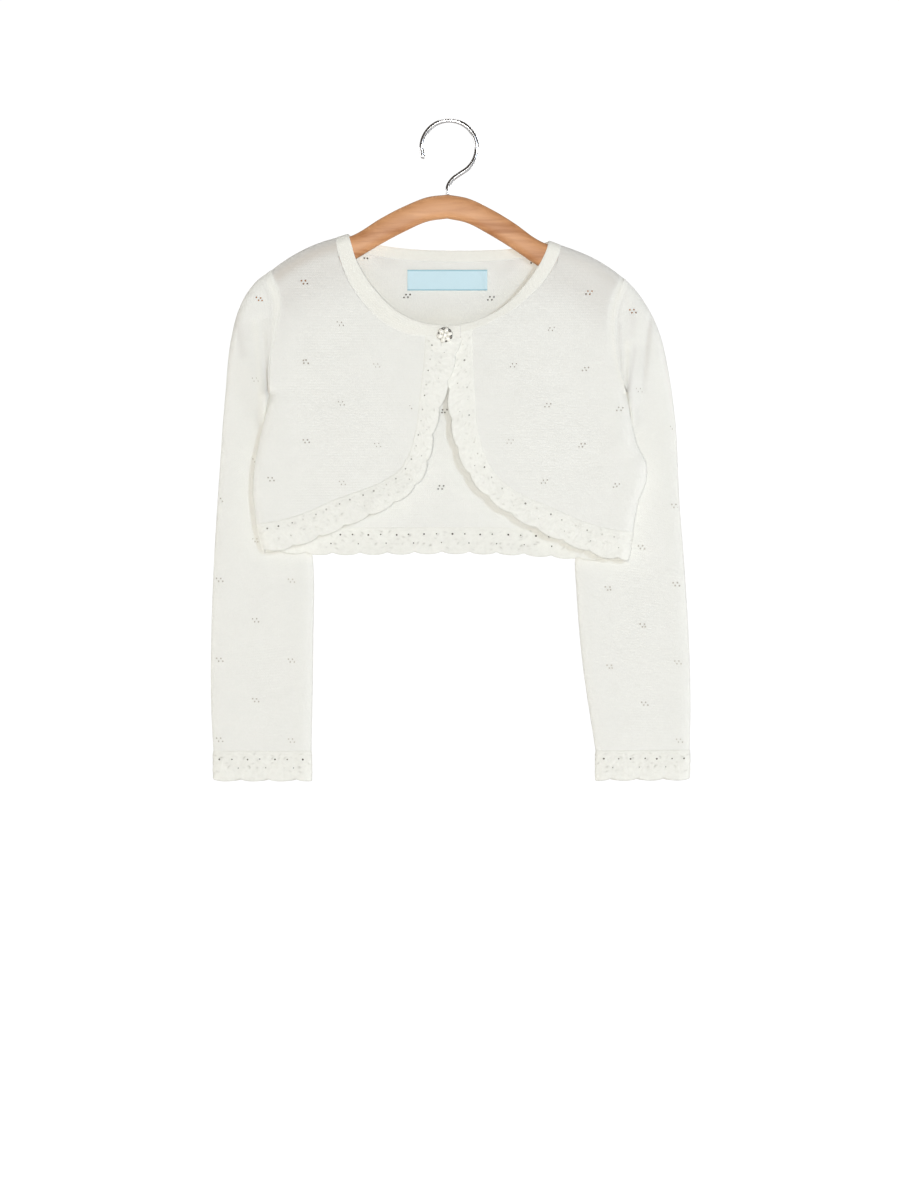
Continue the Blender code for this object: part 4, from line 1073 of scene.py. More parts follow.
def sleeve_half(rings, shares, side, folds, creases, bow):
    """One half of the flattened rings, front (side -1) or back (1): straight between the folds in x, z.

    y is the line between the folds' depths, plus the half depth closing to 0 at each fold.
    """
    outer_point, inner_point, half, back_outer, back_inner = rings
    gap = inner_point - outer_point
    width = np.linalg.norm(gap, axis=-1)[:, None]
    flat = outer_point[:, None] + gap[:, None] * shares[None, :, None]
    deep = half[:, None] * closing(shares * width, SLEEVE_ROUND) * closing((1 - shares) * width, SLEEVE_ROUND)
    rise = fold_rise(flat, folds) + crease_rise(flat, creases)
    deep = deep + rise * np.clip(deep / SLEEVE_FOLD_FADE, 0, 1)
    y = back_outer[:, None] + (back_inner - back_outer)[:, None] * shares + side * deep
    return raised(flat + bow, y)


def build_sleeve(half):
    """A flattened tube of rings from the armhole seam down to the cuff's seam."""
    cell, radius = sizes().cell / MM, sizes().eyelet / MM
    end = lengths(edge(half.outer))[-1]
    down = np.r_[0, 0.8, np.linspace(cell, end, round(end / cell))]
    shares = spaced(SLEEVE_SPAN, cell)
    rings = sleeve_line(half, down)
    first = along(edge(half.armhole), shares)
    depth = half_depth(first)
    first = first + (np.array(half.inner[0]) - first[-1]) * shares[:, None] ** 6
    chord = first[0] + (first[-1] - first[0]) * shares[:, None]
    fade = np.clip(1 - down / ARMHOLE_BOW, 0, 1) ** 2
    bow = (first - chord)[None] * fade[:, None, None]
    joining = np.clip(1 - down / ARMHOLE_BLEND, 0, 1)[:, None]
    faces = []
    for side in (-1, 1):
        points = sleeve_half(rings, shares, side, half.sleeve_folds, half.sleeve_creases, bow)
        points[..., 1] += (side * depth - points[..., 1]) * joining
        faces.append(points)
    middle = np.concatenate([faces[0], faces[1][:, -2:0:-1]], axis=1)
    middle = parted(middle, bottom=SEAM_JOIN, top=SEAM_JOIN)
    normal = outward_normals(middle, True, None)
    around = np.r_[shares, shares[-2:0:-1]]
    near = np.clip(np.minimum(around, 1 - around) / FOLD_SHARE, 0, 1)
    rise = seam_rise(down, half.seam)[:, None] * near
    middle = middle + normal * rise[..., None]
    width = np.linalg.norm(rings[1] - rings[0], axis=-1)[:, None]
    uv = np.stack(np.broadcast_arrays((around - 0.5) * width, -lengths((rings[0] + rings[1]) / 2)[:, None]),
                  axis=-1)
    on_front = lattice(half.sleeve_eyelets)
    on_front[:, 0] -= np.sign(on_front[:, 0]) * CAP_LEAN * np.clip((on_front[:, 1] - CAP_BELOW) / 60, 0, 1)
    on_back = lattice(half.sleeve_eyelets, 0.25)
    eyelets = []
    for motifs, columns in (on_front, slice(0, len(shares))), (on_back, slice(len(shares), None)):
        eyelets += eyelet_cells(middle, within(motifs, middle), radius, columns, shade_discs=SLEEVE_SHADE_DISCS)
    tone = seam_paleness_and_shade(down, half.seam)[:, None] * near * np.clip(1.6 - around * 2.2, 0, 1)
    # painted highlight on the ridges of the creases and painted shade in their troughs, stronger in deep
    # ones, half as strong on the back half
    strength = np.where(np.arange(len(around)) < len(shares), 1, 0.5)
    crease = crease_rise(middle[..., (0, 2)], half.sleeve_creases) * strength
    deep = 0.9 * np.maximum(crease, 0) + 0.16 * np.clip(crease, -1, 0) + 0.35 * np.minimum(crease + 1, 0)
    made = shell(f"sleeve_{half.name}_knit", middle, normal, KNIT_WALL / 2, KNIT_WALL / 2, uv,
                 knit_finishes(), ring=True, eyelets=eyelets, tone=tone + deep)
    hang(made, f"sleeve_{half.name}")


# ================================================================ crochet edging
# depth of the two foundation rows, and of the point from which each fan's posts spread
FOUNDATION = 4.6
FAN_BASE = 2.0
# how deep the lower row of eyelets lies, the cuffs' upper row, and the size of an eyelet's cell
LOWER_EYELETS = 13.1
CUFF_EYELETS = 6.4
EYELET_CELL = 1.7
# where along a shell its two upper eyelets and the one near its notch lie, as shares of the pitch
UPPER_PLACES = (0.28, 0.72)
LOWER_PLACE = 0.93
# angle from post to post in radians, length of a stitch, usual size of a cell along and across
POST_ANGLE = 0.30
STITCH = 2.7
COLUMN, ROW = 0.62, 0.58
# how far the first end of a flat edging is moved inwards
FIRST_END = -0.7
# small gaps between stitches, where the relief dips and shade is painted: depth, number to a shell, strength
NICKS = ((3.0, 3, 0.45), (6.0, 4, 0.5), (9.2, 3, 0.35), (12.6, 4, 0.55), (16.0, 3, 0.3))
NICK_LONG, NICK_WIDE = 1.25, 0.55


def divided(ends, step, length):
    """Shares from the first end to the last, evenly divided between them into steps of about this length."""
    shares = [np.array(ends[:1])]
    for start, end in zip(ends[:-1], ends[1:]):
        reach = (end - start) * length
        count = max(1, round(reach / step)) if reach > 1.1 * EYELET_CELL else 1
        shares.append(np.linspace(start, end, count + 1)[1:])
    return np.concatenate(shares)


def shell_columns(pitch, lean):
    """Columns of one shell: closer ones at the notches, and a cell for each eyelet."""
    half = EYELET_CELL / pitch / 2
    first, second = UPPER_PLACES[0] + lean, UPPER_PLACES[1] + lean
    return divided((0.035, first - half, first + half, second - half, second + half, 0.965), COLUMN, pitch)


def edging_rows(depth, upper):
    """Rows of the edging: closer ones at its borders, and a row of cells for each line of eyelets."""
    half = EYELET_CELL / depth / 2
    high, low = upper / depth, LOWER_EYELETS / depth
    rows = divided((0.0, high - half, high + half, low - half, low + half, 1.0), ROW, depth)
    return np.r_[0, 0.012, rows[1:-1], 0.985, 1.0]


def shell_wave(turns):
    """A round shell over each whole turn: the half circle's height, 0 at the notches and 1 between them."""
    return np.sqrt(np.clip(1 - (2 * (turns % 1.0) - 1) ** 2, 0, 1))


def crochet_relief(turns, deep, pitch, width):
    """How far the crochet stands up, from 0 to 1, at whole turns of the shells and depths in mm.

    Two foundation rows are round stitches, sine times cosine. Below them each shell is a fan of
    posts, a cosine of the angle about its base, each crossed by round stitches, and its edge is a
    row of loops. Every shell has its own small shift, the fraction of its number times 0.618.
    """
    own = (np.floor(turns) * 0.618) % 1.0 - 0.5
    x = ((turns % 1.0) - 0.5) * pitch + 0.5 * own + 0.25 * np.sin(2.3 * deep + 9 * own)
    row = deep / (FOUNDATION / 2)
    stitch = 0.5 + 0.5 * np.cos(2 * pi * (x / STITCH + 0.5 * np.floor(row)))
    first = np.abs(np.sin(pi * np.clip(row, 0, 2))) ** 0.6 * (0.45 + 0.55 * stitch)
    reach = np.hypot(x, deep - FAN_BASE)
    angle = np.arctan2(x, deep - FAN_BASE) + 0.1 * own
    number = np.round(angle / POST_ANGLE)
    post = np.sqrt(np.clip(0.5 + 0.5 * np.cos(2 * pi * angle / POST_ANGLE), 0, 1))
    knots = 0.5 + 0.5 * np.cos(2 * pi * (reach / STITCH + 0.5 * number + own))
    fan = post * (0.5 + 0.5 * knots)
    gap = width - deep
    loop = np.sqrt(np.clip(1 - ((gap - 1.3) / 1.4) ** 2, 0, 1))
    loop = loop * (0.55 + 0.45 * np.cos(2 * pi * (x / 3.1 + own)))
    on_edge = np.clip((2.9 - gap) / 0.8, 0, 1)
    valley = 1 - 0.9 * bell(np.abs(x) - pitch / 2, 1.2) * np.clip((deep - 8.0) / 4, 0, 1)
    below = (fan * (1 - on_edge) + loop * on_edge) * valley
    share = np.clip((deep - FOUNDATION + 0.4) / 0.8, 0, 1)
    return first * (1 - share) + below * share


def nicks(turns, deep, pitch):
    """Short gaps between the stitches, where the relief dips and shade is painted, from 0 to 1: bells of
    the distance in a leaning ellipse.

    Each row of them has so many to a shell, moved, leaned and weakened by its own share of noise.
    """
    x, turn = (turns % 1.0) * pitch, np.floor(turns).astype(int)
    total = np.zeros(np.broadcast_shapes(x.shape, deep.shape))
    for row, (depth, number, strength) in enumerate(NICKS):
        spacing = pitch / number
        spot = np.floor(x / spacing)
        own = [NOISE[(turn * number + spot.astype(int)) % 64, row * 5 + k] for k in range(4)]
        along_x = x - (spot + 0.3 + 0.4 * own[0]) * spacing
        along_z = deep - depth - 2.2 * (own[1] - 0.5)
        lean = 1.8 * (own[2] - 0.5)
        first = along_x * np.cos(lean) + along_z * np.sin(lean)
        second = along_z * np.cos(lean) - along_x * np.sin(lean)
        # how strongly this gap dips and is painted with shade
        dark = strength * (0.1 + 1.6 * own[3] ** 2.5)
        total = total + dark * bell(np.hypot(first / NICK_LONG, second / NICK_WIDE), 1.0)
    return np.clip(total, 0, 1)


def edging_skins(turns, deep, width, pitch, steps, open_share):
    """(outer skin's distance, inner skin's, tone) of an edging: puffed shells carrying the stitches.

    It starts level with the panel beside it. The relief is half stitches and half soft noise, less
    the gaps between the stitches. The tone is random mottle with painted shade in the gaps, in low
    relief, along the outer edge and the seam, and a little over edgings whose gaps are strongest.
    """
    yarn = sizes().yarn / MM
    gaps = open_share * nicks(turns, deep, pitch)
    mottle = soft_noise(turns * pitch, deep, 2.1) * 0.6 + soft_noise(turns * pitch + 50, deep, 4.4) * 0.4
    relief = 0.55 * crochet_relief(turns, deep, pitch, width) + 0.35 * mottle - 0.5 * gaps
    start, end = closing(deep, 2.2), closing(width - deep + 0.1, 1.4)
    half = KNIT_WALL / 2 * (0.3 + 0.7 * end)
    puff = SHELL_PUFF * shell_wave(turns + 0.02) * np.sin(pi * np.clip(steps, 0, 1)) ** 0.5
    # random mottle, with painted shade in low relief and in the gaps, a little over edgings with strong gaps,
    # along the outer edge and by the seam
    tone = (0.12 * (mottle - 0.6) - 0.12 * np.clip(0.4 - relief, 0, 1)) * start - 0.75 * gaps
    tone = tone - 0.08 * (open_share - 0.6)
    tone = tone - 0.25 * bell(width - deep, 0.6) - 0.08 * (1 - start)
    return half + (puff + yarn * relief) * start * end, half + 0.6 * yarn * relief * start * end, tone


def shell_turns(first, pitch, end, lean):
    """Turn counts of the columns along an edging of this length, whole shells cut off at its ends."""
    one = shell_columns(pitch, lean)
    start, stop = -first / pitch, (end - first) / pitch
    turns = np.concatenate([one + k for k in range(int(np.floor(start)) - 1, int(np.ceil(stop)) + 1)])
    turns = turns[(turns > start + 0.012) & (turns < stop - 0.012)]
    return np.r_[start, turns, stop]


def edging_eyelets(turns, steps, depth, pitch, lean, upper, shade_discs):
    """(row, column, s, t, radius, shade disc) of the gaps: two to a shell in the upper row, one at each
    notch.

    Each has its own size and place in its cell, and how pale the disc painted with shade that closes it
    halfway is, by its own noise.
    """
    half, radius = EYELET_CELL / pitch / 2, sizes().crochet_eyelet / MM
    share = turns[:-1] % 1.0
    found = []
    for at, deep, size in ((UPPER_PLACES[0] + lean, upper, 1.0), (UPPER_PLACES[1] + lean, upper, 0.8),
                           (LOWER_PLACE, LOWER_EYELETS, 0.7)):
        row = np.abs(steps[:-1] * depth + EYELET_CELL / 2 - deep).argmin()
        start = at - half if deep == upper else share[np.abs(share - at).argmin()]
        for column in np.flatnonzero(np.abs(share - start) < 1e-6):
            if 3 < column < len(turns) - 5:
                own = NOISE[(7 * column + int(deep)) % 64, 40:44]
                shade_disc = shade_discs[0] + (shade_discs[1] - shade_discs[0]) * own[3] + 0.4 * (1 - size)
                found.append((row, column, *(0.3 + 0.4 * own[:2]), radius * size * (0.8 + 0.2 * own[2]), shade_disc))
    return found


def build_edging(node, seam, outer, shells, surface, towards):
    """A strip of shells from a seam out to a scalloped edge, on the surface that carries it."""
    first, pitch, lean, upper, shade_discs, open_share = shells
    seam, outer = edge(seam), edge(outer)
    end = lengths(outer)[-1]
    turns = shell_turns(first, pitch, end, lean)
    shares = (turns * pitch + first) / end
    inside, outside = along(seam, shares), along(outer, shares)
    outside = outside + unit(outside - inside) * ((shell_wave(turns) - 0.6) * SHELL_DEPTH)[:, None]
    width = np.linalg.norm(outside - inside, axis=-1)
    depth = np.median(width)
    steps = edging_rows(depth, upper)
    flat = inside[None] + (outside - inside)[None] * steps[:, None, None]
    middle = parted(surface(flat), bottom=SEAM_JOIN, left=FIRST_END, right=SEAM_JOIN)
    normal = outward_normals(middle, False, towards)
    deep = steps[:, None] * width[None]
    out, into, tone = edging_skins(turns[None], deep, width[None], pitch, steps[:, None], open_share)
    uv = np.stack(np.broadcast_arrays((turns * pitch)[None], deep), axis=-1)
    eyelets = edging_eyelets(turns, steps, depth, pitch, lean, upper, shade_discs)
    made = shell(f"{node}_crochet", middle, normal, out, into, uv, crochet_finishes(), eyelets=eyelets,
                 tone=tone)
    hang(made, node)


def build_cuff(half):
    """The edging round a cuff: shells round the flattened tube, hanging below the sleeve's last ring."""
    end = lengths(edge(half.outer))[-1]
    rings = sleeve_line(half, np.array([end]))
    across = np.linalg.norm(rings[1] - rings[0])
    pitch = 2 * across / CUFF_SHELLS
    one = shell_columns(pitch, 0.0)
    turns = np.concatenate([one + k for k in range(CUFF_SHELLS)])
    halfway = ((turns + CUFF_FIRST_NOTCH) * 2 / CUFF_SHELLS) % 2.0
    order = np.argsort(halfway)
    turns, halfway = turns[order], halfway[order]
    shares = np.where(halfway <= 1, halfway, 2 - halfway)
    both = [sleeve_half(rings, shares, side, (), (), 0.0)[0] for side in (-1, 1)]
    ring = np.where((halfway <= 1)[:, None], both[0], both[1])
    steps = edging_rows(CUFF_LENGTH, CUFF_EYELETS)
    deep = steps[:, None] * (CUFF_LENGTH + SHELL_DEPTH * (shell_wave(turns)[None] - 0.6) * steps[:, None])
    middle = parted(ring[None] + deep[..., None] * np.array((0, 0, -1.0)), bottom=SEAM_JOIN)
    normal = outward_normals(middle, True, None)
    out, into, tone = edging_skins(turns[None], deep, deep[-1:], pitch, steps[:, None], 1.0)
    uv = np.stack(np.broadcast_arrays(((shares - 0.5) * across)[None], deep), axis=-1)
    eyelets = edging_eyelets(np.r_[turns, turns[0]], steps, CUFF_LENGTH, pitch, 0.0, CUFF_EYELETS, CUFF_SHADE_DISCS)
    node = f"trim_cuff_{half.name}"
    made = shell(f"{node}_crochet", middle, normal, out, into, uv, crochet_finishes(), ring=True,
                 eyelets=eyelets, tone=tone)
    hang(made, node)


# ================================================================ neck band, label, button
BAND_CELL = 1.1


def build_neck_band():
    """The folded band: one strip from the right front's edge, round the back of the neck, to the left's."""
    strips, runs, start = [], [], 0.0
    steps = np.r_[0, 0.04, 0.1, np.linspace(0.18, 0.82, 8), 0.9, 0.96, 1.0]
    for inner, seams, surface in (
            (RIGHT.neck_edge[::-1], (RIGHT.neck_lap[::-1], RIGHT.neck_seam[::-1]),
             partial(front, half=RIGHT)),
            (NECK_EDGE_BACK, (NECK_SEAM_BACK,), back),
            (LEFT.neck_edge, (LEFT.neck_seam, LEFT.neck_lap), partial(front, half=LEFT))):
        inside, seam = edge(inner), edge(*seams)
        length = lengths(inside)[-1]
        shares = spaced(length, BAND_CELL, near_start=bool(strips), near_end=inner is not LEFT.neck_edge)
        flat = along(inside, shares)[None] * (1 - steps[:, None, None])
        flat = flat + along(seam, shares)[None] * steps[:, None, None]
        points = surface(flat)
        strips.append(points[:, 1:] if strips else points)
        runs.append((start + shares * length)[1:] if runs else shares * length)
        start += length
    middle = parted(np.concatenate(strips, axis=1), top=SEAM_JOIN)
    run = np.concatenate(runs)
    normal = outward_normals(middle, False, (0, -1, 0))
    fold, seam_side = closing(steps * 8.5 + 0.12, 1.5), closing((1 - steps) * 8.5, 2.5)
    wall = ((BAND_WALL * (0.13 + 0.4 * fold) - KNIT_WALL / 2) * seam_side + KNIT_WALL / 2)[:, None]
    uv = np.stack(np.broadcast_arrays(run[None], steps[:, None] * 9.0), axis=-1)
    # the band is paler where it is double, with a thin line of painted shade across its first end at the
    # right front's edge
    made = shell("neck_band_knit", middle, normal, wall, wall, uv,
                 (finish("knit band"), finish("knit band"), finish("eyelet shade")),
                 tone=seam_side[:, None] - 1.3 * bell(run, 0.6)[None])
    hang(made, "neck_band")


def build_label():
    """The woven label: a strip moved in from the back, its right end lifting slightly, ends turned under."""
    u = np.r_[0, 0.3, np.linspace(1.0, 59.0, 78), 59.7, 60.0] / 60.0
    v = np.linspace(0, 1, 25)
    x = LABEL_LEFT + (LABEL_RIGHT - LABEL_LEFT) * u
    z = LABEL_BOTTOM + (LABEL_TOP - LABEL_BOTTOM) * v
    flat = np.stack(np.meshgrid(x, z), axis=-1)
    lift = 1.3 * np.clip((u - 0.82) / 0.18, 0, 1)[None] ** 2 * (1 - 0.4 * v[:, None])
    ripple = 0.12 * np.sin(2 * pi * (2.3 * u[None] + 0.2 * v[:, None])) + 0.12
    offset = KNIT_WALL / 2 + SEAM_GAP + LABEL_WALL / 2 + 0.1
    middle = back(flat)
    middle[..., 1] -= offset + lift + ripple
    turned = 0.22 * (bell(u * 60 - 1.6, 1.3) + bell((1 - u) * 60 - 1.6, 1.3))[None]
    uv = flat - np.array((LABEL_LEFT, LABEL_BOTTOM))
    normal = outward_normals(middle, False, (0, -1, 0))
    made = shell("label_satin", middle, normal, LABEL_WALL / 2 + turned, LABEL_WALL / 2, uv,
                 [finish("label satin")] * 3)
    hang(made, "label")


def petal(turn, share, count):
    """x and z of a petal's outline about the button's centre: an ellipse narrowing to a point inwards."""
    angle = np.linspace(0, 2 * pi, count, endpoint=False)
    out = PETAL_DISTANCE + share * PETAL_LONG * np.cos(angle)
    side = share * PETAL_WIDE * np.sin(angle) * np.clip(out / (0.9 * PETAL_DISTANCE), 0.05, 1)
    x = BUTTON_CENTRE[0] + out * np.cos(turn) - side * np.sin(turn)
    z = BUTTON_CENTRE[1] + out * np.sin(turn) + side * np.cos(turn)
    return np.stack([x, z], axis=-1)


def ring_faces(count, sides):
    """The faces round a row of rings with this many points each, and one face over each end."""
    index = np.arange(count * sides).reshape(count, sides)
    return quads_of(closed(index)).tolist() + [index[0, ::-1].tolist(), index[-1].tolist()]


def domed(outlines, seat, rise):
    """A closed dome: one outline for each ring, standing rise in front of the seat; (points, faces)."""
    rings = [raised(flat, np.full(len(flat), seat - out)) for flat, out in zip(outlines, rise)]
    return np.concatenate(rings), [face[::-1] for face in ring_faces(len(rings), len(rings[0]))]


def tube(route, radius, sides):
    """A round tube along a route: (points, faces). Point = route + radius (cos a across + sin a up).

    Across is the route's direction crossed with a fixed axis, so the route keeps out of that axis.
    """
    step = unit(np.gradient(route, axis=0))
    across = unit(np.cross(step, np.array((0.001, 1.0, 0.001))))
    up = np.cross(across, step)
    angle = np.linspace(0, 2 * pi, sides, endpoint=False)
    radius = np.broadcast_to(radius, (len(route),))[:, None, None]
    ring = np.cos(angle)[None, :, None] * across[:, None] + np.sin(angle)[None, :, None] * up[:, None]
    return (route[:, None] + radius * ring).reshape(-1, 3), ring_faces(len(route), sides)


def joined(parts):
    """Several (points, faces) put together."""
    points, faces, start = [], [], 0
    for some, listed in parts:
        points.append(some)
        faces += [[corner + start for corner in face] for face in listed]
        start += len(some)
    return np.concatenate(points), faces


def build_button():
    """The flower button: a metal plate, pearly petals with fine rims, bosses in the notches, a slit disc."""
    band = front(np.array([BUTTON_CENTRE], float), RIGHT)[0, 1]
    seat = band - BAND_WALL / 2 - 0.4
    angle = np.linspace(0, 2 * pi, 24, endpoint=False)
    round_rim = np.stack([np.cos(angle), np.sin(angle)], axis=-1)
    metal, pearl = ([domed([np.array(BUTTON_CENTRE) + radius * round_rim for radius, _ in rings], seat,
                           [rise for _, rise in rings])] for rings in (PLATE, DISC))
    rise = 1.3 + 1.4 * np.sqrt(1 - np.array(PETAL_RINGS)**2)
    boss_shares, boss_rises = np.array(BOSS_RINGS).T
    for k, boss in enumerate(BOSSES):
        turn = 2 * pi * k / PETALS + radians(PETAL_TURN)
        pearl.append(domed([petal(turn, share, 40) for share in PETAL_RINGS], seat, rise))
        notch = turn + pi / PETALS
        out, along_rim = np.array(((np.cos(notch), np.sin(notch)), (-np.sin(notch), np.cos(notch))))
        outline = np.outer(np.cos(angle), 0.62 * boss * out) + np.outer(np.sin(angle), boss * along_rim)
        metal.append(domed([BUTTON_CENTRE + BOSS_DISTANCE * out + share * outline for share in boss_shares],
                           seat, 0.9 + 0.85 * boss * boss_rises))
        rim = np.roll(petal(turn, 1.0, 40), 11, axis=0)[:23]
        # each petal's dark rim is thicker towards the upper right: real metal that also paints the shade on
        # that side of the button
        painted_shade_side = np.clip(((rim - BUTTON_CENTRE) @ (0.6, 0.8)) / 6.0, 0, 1)
        metal.append(tube(raised(rim, np.full(23, seat - 1.25)), 0.1 + 0.2 * painted_shade_side, 8))
    slit = np.array(SLIT)
    metal.append(tube(raised(slit[:, :2] + BUTTON_CENTRE - SLIT_CENTRE, seat - slit[:, 2]), 0.2, 8))
    made = add_mesh("button_metal", *joined(metal), [finish("button metal")])
    petals = add_mesh("button_petals", *joined(pearl), [finish("button pearl")])
    hang(made, "button")
    hang(petals, "button")


# ================================================================ hanger
def tilted(points):
    """Points turned about Y through the origin by the hanger's tilt."""
    turn = radians(HANGER_TILT)
    x = points[:, 0] * np.cos(turn) + points[:, 2] * np.sin(turn)
    z = points[:, 2] * np.cos(turn) - points[:, 0] * np.sin(turn)
    return np.stack([x, points[:, 1], z], axis=-1)


def build_hanger_bar():
    """The wooden arms: rounded sections along X, their top and underside on smooth curves of the table."""
    table = np.array(BAR_HEIGHTS, float)
    high, low = edge(table[:, :2]), edge(table[:, (0, 2)])
    end = table[-1, 0]
    x = np.r_[np.linspace(0, end - 6, 60), end - 6 * (1 - np.sin(np.linspace(0.15, 1, 10) * pi / 2))]
    x = np.r_[-x[:0:-1], x]
    top, under = np.interp(np.abs(x), *high.T), np.interp(np.abs(x), *low.T)
    close = closing(end - np.abs(x) + 0.05, 9.0)
    angle = np.linspace(0, 2 * pi, 28, endpoint=False)
    across = np.sign(np.cos(angle)) * np.abs(np.cos(angle)) ** 0.7
    upright = np.sign(np.sin(angle)) * np.abs(np.sin(angle)) ** 0.8
    thin = BAR_HALF_THICKNESS * np.interp(np.abs(x), *np.array(BAR_THINS).T)
    y = thin[:, None] * across
    z = ((top + under) / 2)[:, None] + ((top - under) / 2 * (0.55 + 0.45 * close))[:, None] * upright
    points = np.stack([np.broadcast_to(x[:, None], y.shape), y, z], axis=-1).reshape(-1, 3)
    made = add_mesh("hanger_arms", tilted(points), ring_faces(len(x), len(angle)), [finish("hanger wood")])
    hang(made, "hanger_bar")


def build_hook():
    """The wire hook: a question mark with the origin on the inside of its top, its foot on the bar."""
    middle = -(HOOK_RADIUS - WIRE_RADIUS)
    foot = BAR_HEIGHTS[0][1] + SEAM_GAP
    turn = np.radians(np.linspace(HOOK_FROM, HOOK_TO, 90))
    bend = np.stack([HOOK_RADIUS * np.cos(turn), middle + HOOK_RADIUS * np.sin(turn)], axis=-1)
    stem = edge(((0, foot), (0.2, foot + 6), (3.5, foot + 11.5), (8.5, middle - 19.3), tuple(bend[0])))
    flat = np.concatenate([along(stem, np.linspace(0, 1, 36))[:-1], bend])
    route = raised(flat, np.zeros(len(flat)))
    tip = np.clip((lengths(route)[-1] - lengths(route)) / WIRE_RADIUS, 0, 1)
    radius = WIRE_RADIUS * np.sqrt(np.clip(1 - (1 - tip) ** 2, 0.02, 1))
    points, faces = tube(route, radius, 20)
    made = add_mesh("hook_wire", tilted(points), faces, [finish("hook steel")])
    hang(made, "hanger_hook")


# ================================================================ stage
CAMERA_HEIGHT = -358.0
CAMERA_DISTANCE = 3200.0
VIEW_HEIGHT = 900.0
FLOOR_HEIGHT = -900.0
FLOOR_RINGS = (0.0, 600.0, 1200.0, 1800.0, 2400.0)
AMBIENT = 0.075
MIDDLE = (0.0, 0.0, -0.28)
# place, size, power, colour
LIGHTS = {"key light": ((1.25, -2.9, 0.3), 0.3, 25.4, (0.717, 0.83, 1.0)),
          "front light": ((-0.08, -3.25, -0.33), 0.3, 65.0, (1.0, 0.973, 0.925)),
          "top light": ((0.0, 0.3, 1.5), 1.0, 8.0, (1.0, 0.998, 0.99)),
          "back light": ((0.5, 2.9, 0.2), 1.0, 36.0, (1.0, 0.99, 0.97)),
          "right rim light": ((-2.2, 0.3, -0.35), 1.2, 20.0, (1.0, 0.998, 0.99)),
          "left rim light": ((2.2, 0.3, -0.35), 1.2, 20.0, (1.0, 0.998, 0.99))}


def add_light(name, place_m, size, power, colour):
    """A square soft light at a place, turned to face the middle of the object."""
    light = bpy.data.lights.new(name, "AREA")
    light.size = size
    light.energy = power
    light.color = colour
    made = bpy.data.objects.new(name, light)
    bpy.context.scene.collection.objects.link(made)
    made.location = place_m
    made.rotation_euler = (Vector(MIDDLE) - Vector(place_m)).to_track_quat("-Z", "Y").to_euler()


def build_stage():
    """The pale floor and backdrop, lights on all sides, and the camera straight in front."""
    scene = bpy.context.scene
    scene.view_settings.view_transform = "Standard"
    angle = np.linspace(0, 2 * pi, 97)
    radius = np.array(FLOOR_RINGS)
    x, y = radius[:, None] * np.cos(angle), radius[:, None] * np.sin(angle)
    points = np.stack([x, y, np.full(x.shape, FLOOR_HEIGHT)], axis=-1)
    index = np.arange(x.size).reshape(x.shape)
    made, tree, shader = new_material("stage white", (0.9, 0.9, 0.9), 0.9, Specular_IOR_Level=0.0)
    shader.inputs["Emission Color"].default_value = (1.0, 1.0, 1.0, 1.0)
    seen = tree.nodes.new("ShaderNodeLightPath").outputs["Is Camera Ray"]
    tree.links.new(calc(tree, "MULTIPLY", seen, 0.8), shader.inputs["Emission Strength"])
    add_mesh("stage_floor", points.reshape(-1, 3), quads_of(index).tolist(), [made])

    world = bpy.data.worlds.new("studio")
    world.use_nodes = True
    tree = world.node_tree
    sky = tree.nodes["Background"].inputs
    seen = tree.nodes.new("ShaderNodeLightPath").outputs["Is Camera Ray"]
    tree.links.new(blend(tree, seen, (1.0, 0.86, 0.72, 1.0), (1.0, 1.0, 1.0, 1.0)), sky[0])
    tree.links.new(calc(tree, "MULTIPLY_ADD", seen, 1.05 - AMBIENT, AMBIENT), sky[1])
    scene.world = world
    for name, light in LIGHTS.items():
        add_light(name, *light)

    camera = bpy.data.cameras.new("camera")
    camera.sensor_fit = "VERTICAL"
    camera.sensor_height = 36.0
    camera.lens = 36.0 * CAMERA_DISTANCE / VIEW_HEIGHT
    camera.clip_end = 50.0
    made = bpy.data.objects.new("camera", camera)
    scene.collection.objects.link(made)
    made.location = (0.0, -CAMERA_DISTANCE * MM, CAMERA_HEIGHT * MM)
    made.rotation_euler = (pi / 2, 0.0, 0.0)
    scene.camera = made


# ================================================================ add-on
class SHRUG_OT_finishes(bpy.types.Operator):
    """Make the node groups and the finishes."""

    bl_idname = "shrug.finishes"
    bl_label = "Make Finishes"

    def execute(self, context):
        group_stitches()
        group_tone()
        group_twist()
        knit_material("knit face", "Face", 0.00014)
        knit_material("knit reverse", "Reverse", 0.00011)
        knit_material("knit band", "Reverse", 0.00014)
        crochet_material()
        shade_material("eyelet shade", colours().shade)
        shade_material("eyelet dark", colours().dark)
        label_material()
        wood_material()
        pearl_material()
        metal_material("button metal", colours().metal, 0.34, 0.2)
        metal_material("hook steel", HOOK_STEEL, 0.18, 0.1)
        return {"FINISHED"}


class SHRUG_OT_back(bpy.types.Operator):
    """Add the knitted back."""

    bl_idname = "shrug.back"
    bl_label = "Add Back"

    def execute(self, context):
        build_back()
        return {"FINISHED"}


class SHRUG_OT_fronts(bpy.types.Operator):
    """Add the two cutaway fronts."""

    bl_idname = "shrug.fronts"
    bl_label = "Add Fronts"

    def execute(self, context):
        for half in HALVES:
            build_front(half)
        return {"FINISHED"}


class SHRUG_OT_sleeves(bpy.types.Operator):
    """Add the two long sleeves."""

    bl_idname = "shrug.sleeves"
    bl_label = "Add Sleeves"

    def execute(self, context):
        for half in HALVES:
            build_sleeve(half)
        return {"FINISHED"}


